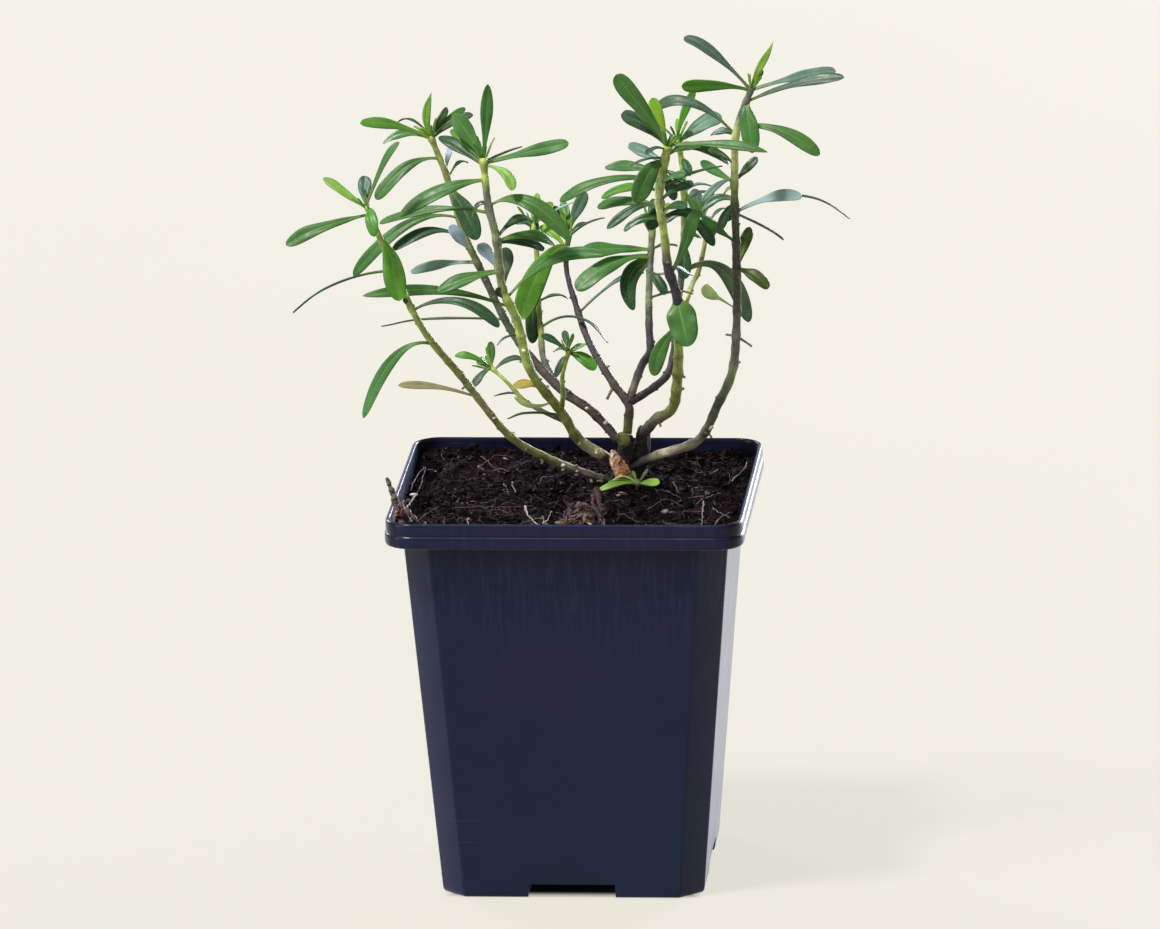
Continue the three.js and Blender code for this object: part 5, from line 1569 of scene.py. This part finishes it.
SPROUT_AT = np.array([16, -3.5, 100.2])
SPROUT_STALK = [[15.5, -2.5, 95], [15.7, -3, 98], SPROUT_AT + [0, 0, 0.4]]
STALK_RADII = (0.6, 0.5)
STALK_TONES = ("#2f2622", "#aab86a")
SPROUT_LEAVES = [
    [-9.8, -2.4, -1.1, 1.7, 0.7, "UF", "sprout"],
    [5.6, -1, 0.6, 2.3, 0, "UF", "sprout"],
    [-1.4, 1, 3.1, 0.9, 0, "F", "young"],
    [2.6, -0.6, 3.8, 0.7, 0, "F", "straw"],
    [-6.4, 0, 1, 0.7, 1.3, "U", "pale"],
    [-7.6, 0.4, 0.3, 1.1, 0.7, "U", "lime"],
]


def make_sprout(paint):
    """Young sprout at the foot: a short stalk that is brown below and green above, and its leaves."""
    rng = np.random.default_rng(97)
    skin = Skin()
    shares = np.linspace(0, 1, 14)
    stalk = np.ones((len(shares), 4))
    brown, green = (linear(tone) for tone in STALK_TONES)
    stalk[:, :3] = between(brown, green, smooth((shares - 0.72) / 0.25)[:, None])
    skin.tube(Path(SPROUT_STALK).at(shares), between(*STALK_RADII, shares), 12, stalk)
    for leaf in SPROUT_LEAVES:
        add_leaf(skin, SPROUT_AT, leaf, rng)
    return settle(skin.piece("basal_sprout_leaves", paint), "basal_sprout", slot="young_leaf")


# The dry twig's arms and the stumps of its knot: route, radii along it, colour
TWIG_ROUTES = [
    ([[-42.4, -34.4, 103.6], [-43.4, -33.8, 106.2], [-44.6, -33, 109]], [0.85, 0.7, 0.42], "#67675a"),
    ([[-40.6, -36.5, 97.4], [-41.8, -35, 100.8], [-42.6, -34.3, 104.4]], [0.8, 1.0, 0.8], "#6b5150"),
    ([[-42, -34.6, 102.8], [-39.5, -36.2, 101.4], [-36.2, -38, 98.6]], [0.6, 0.7, 0.25], "#5d4a44"),
    ([[-41.4, -35.2, 101.4], [-42.4, -36.6, 99.8], [-43, -38.6, 98]], [0.5, 0.4, 0.2], "#a38a90"),
    ([[-41, -36, 98.8], [-39.2, -33.8, 99.6], [-37.6, -31, 98.4]], [0.4, 0.34, 0.2], "#6e5a5a"),
    ([[-41.6, -34.4, 102.6], [-40.4, -34.2, 100.4], [-38.4, -36.4, 98.2]], [0.6, 0.9, 0.4], "#4c3938"),
]
SHREDS = 22
SHREDS_AT = [-41, -35.4, 100.9]
SHREDS_HALF = [1.3, 1.0, 1.9]
SHRED_TONES = ("#8a6a6c", "#c4aaac", "#5a4144", "#a08689")


def make_twig(paint):
    """Dry twig that leans on the rim, with shreds of bark round its knot."""
    rng = np.random.default_rng(101)
    skin = Skin()
    rows = 24
    shares = np.linspace(0, 1, rows)
    for route, radii, tone in TWIG_ROUTES:
        sizes = sizes_along(radii, shares)
        sizes = sizes * (1 + 0.16 * np.sin(shares * 17) + 0.06 * rng.standard_normal(rows))
        points = Path(route).at(shares) + 0.09 * rng.standard_normal((rows, 3))
        skin.tube(points, sizes, 10, (*linear(tone), 1))
    for _ in range(SHREDS):
        middle = np.array(SHREDS_AT) + rng.uniform(-1, 1, 3) * SHREDS_HALF
        heading = unit(rng.standard_normal(3) * [0.6, 0.4, 1])
        aside = 0.8 * unit(np.cross(heading, rng.standard_normal(3)))
        half = rng.uniform(0.8, 1.9)
        route = [middle - heading * half, middle + aside * 0.6, middle + heading * half]
        add_fibre(skin, route, rng.uniform(0.14, 0.4), linear(pick(rng, SHRED_TONES)), rng, 7)
    return settle(skin.piece("leaning_twig", paint), "rim_twig", slot="dry_wood")


CLUMP_AT = np.array([4.2, -25.5, 97.2])
CLUMP_HALF = np.array([5.2, 8, 2.1])
CLUMP_STRIPS = 70
CLUMP_CORE_TONE = "#3d2c2a"
CLUMP_TONES = ("#5c4a48", "#7c655e", "#43333a", "#8d776f")


def make_fibre_clump(paint):
    """Matted chunk of coarse fibre, half sunk in the soil in front."""
    rng = np.random.default_rng(113)
    skin = Skin()
    points, faces = ball(5)
    lift = np.array([noise.fractal(Vector(p * 2.1), 0.8, 2.2, 5) for p in points])
    core = points * (0.86 + 0.34 * lift)[:, None] * CLUMP_HALF + CLUMP_AT
    skin.add(core, faces, (*linear(CLUMP_CORE_TONE), 1))
    for _ in range(CLUMP_STRIPS):
        spot = unit(rng.standard_normal(3) * [1, 1, 0.8] + [0, -0.3, 0.7])
        start = CLUMP_AT + spot * CLUMP_HALF * rng.uniform(0.8, 1.02)
        heading = unit(np.cross(spot, [0.3, 1, 0]) + 0.5 * rng.standard_normal(3))
        half = heading * rng.uniform(2, 6) / 2
        route = [start - half - spot * 0.3, start + spot * 0.25, start + half - spot * 0.35]
        add_fibre(skin, route, rng.uniform(0.12, 0.5), linear(pick(rng, CLUMP_TONES)), rng, 7)
    return settle(skin.piece("fibre_clump", paint), "fibre_lump", slot="fibre")


# Stage


def make_camera():
    """Camera at the photo's viewing angle."""
    a, e, r = (math.radians(v) for v in (VIEW_AZIMUTH, VIEW_ELEVATION, VIEW_ROLL))
    right = Vector((math.cos(a), math.sin(a), 0))
    back = Vector((math.sin(a) * math.cos(e), -math.cos(a) * math.cos(e), math.sin(e)))
    up = back.cross(right)
    across = right * math.cos(r) - up * math.sin(r)
    upward = right * math.sin(r) + up * math.cos(r)
    data = bpy.data.cameras.new("camera")
    data.sensor_width = SENSOR
    data.lens = SENSOR * VIEW_DISTANCE * PIXELS_PER_MM / FRAME_WIDTH
    data.clip_start = 0.05
    data.clip_end = 60
    camera = bpy.data.objects.new("camera", data)
    matrix = Matrix((across, upward, back)).transposed().to_4x4()
    matrix.translation = (Vector(VIEW_TARGET) + back * VIEW_DISTANCE) * MM
    camera.matrix_world = matrix
    bpy.context.scene.collection.objects.link(camera)
    bpy.context.scene.camera = camera


def make_floor():
    """Pale floor with a faint glow of its own, which keeps the shadows on it light; the glow fades out
    under the pot, a painted shadow where the pot stands.
    """
    paint = Paint("floor")
    paint.colour = paint.blend(paint.patches(3, 2, 0.3, 0.7), "#565450", "#585652")
    paint.gloss(0.9, 0.1)
    x, y, _ = paint.parts(paint.where)
    reach = paint.maths("MAXIMUM", paint.size(x), paint.size(y))
    # The glow fades out under the pot's foot: a painted shadow beneath the pot
    glow = paint.spread(reach, (FOOT_HALF - 6) * MM, FOOT_HALF * MM, 0, FLOOR_GLOW_STRENGTH)
    bounced = paint.node("LightPath").outputs["Is Diffuse Ray"]
    glow = paint.times(glow, paint.spread(bounced, 0, 1, 1, BOUNCED_GLOW))
    paint.put(paint.shader, {"Emission Color": as_colour(FLOOR_GLOW), "Emission Strength": glow})
    skin = Skin()
    half = FLOOR_SIDE / 2
    corners = [(-half, -half), (half, -half), (half, half), (-half, half)]
    skin.add([(x, y, -FLOOR_DROP) for x, y in corners], [[0, 1, 2, 3]])
    skin.piece("floor", paint.material, flat=True)


def add_light(name, kind, power, colour, place, size):
    data = bpy.data.lights.new(name, kind)
    data.energy = power
    data.color = colour
    if kind == "SUN":
        data.angle = math.radians(size)
    else:
        data.shape = "DISK"
        data.size = size
    light = bpy.data.objects.new(name, data)
    light.location = place
    light.rotation_mode = "QUATERNION"
    light.rotation_quaternion = (Vector(place) - Vector(LIGHTS_AIM)).to_track_quat("Z", "Y")
    light.visible_camera = False
    bpy.context.scene.collection.objects.link(light)


def make_light():
    scene = bpy.context.scene
    scene.view_settings.view_transform = "Standard"
    scene.world = bpy.data.worlds.new("studio")
    scene.world.use_nodes = True
    sky = scene.world.node_tree.nodes["Background"]
    sky.inputs["Color"].default_value = SKY_COLOUR
    sky.inputs["Strength"].default_value = SKY_STRENGTH
    for row in LIGHTS:
        add_light(*row)


# Assembly

make_camera()
make_light()
make_floor()
BARK = bark_paint("bark")
LEAF = leaf_paint("leaf")
FIBRE = fibre_paint("fibre")
SOIL = soil_paint("soil")
make_pot()
make_soil(SOIL)
make_crumbs(SOIL)
make_fibres(FIBRE)
make_chips(FIBRE)
make_rootstock(BARK)
make_bark_curl(FIBRE)
make_sprout(LEAF)
make_twig(BARK)
make_fibre_clump(FIBRE)
for seed, (name, branches) in enumerate(STEMS.items(), start=11):
    make_leafy_stem(name, branches, seed, BARK, LEAF)
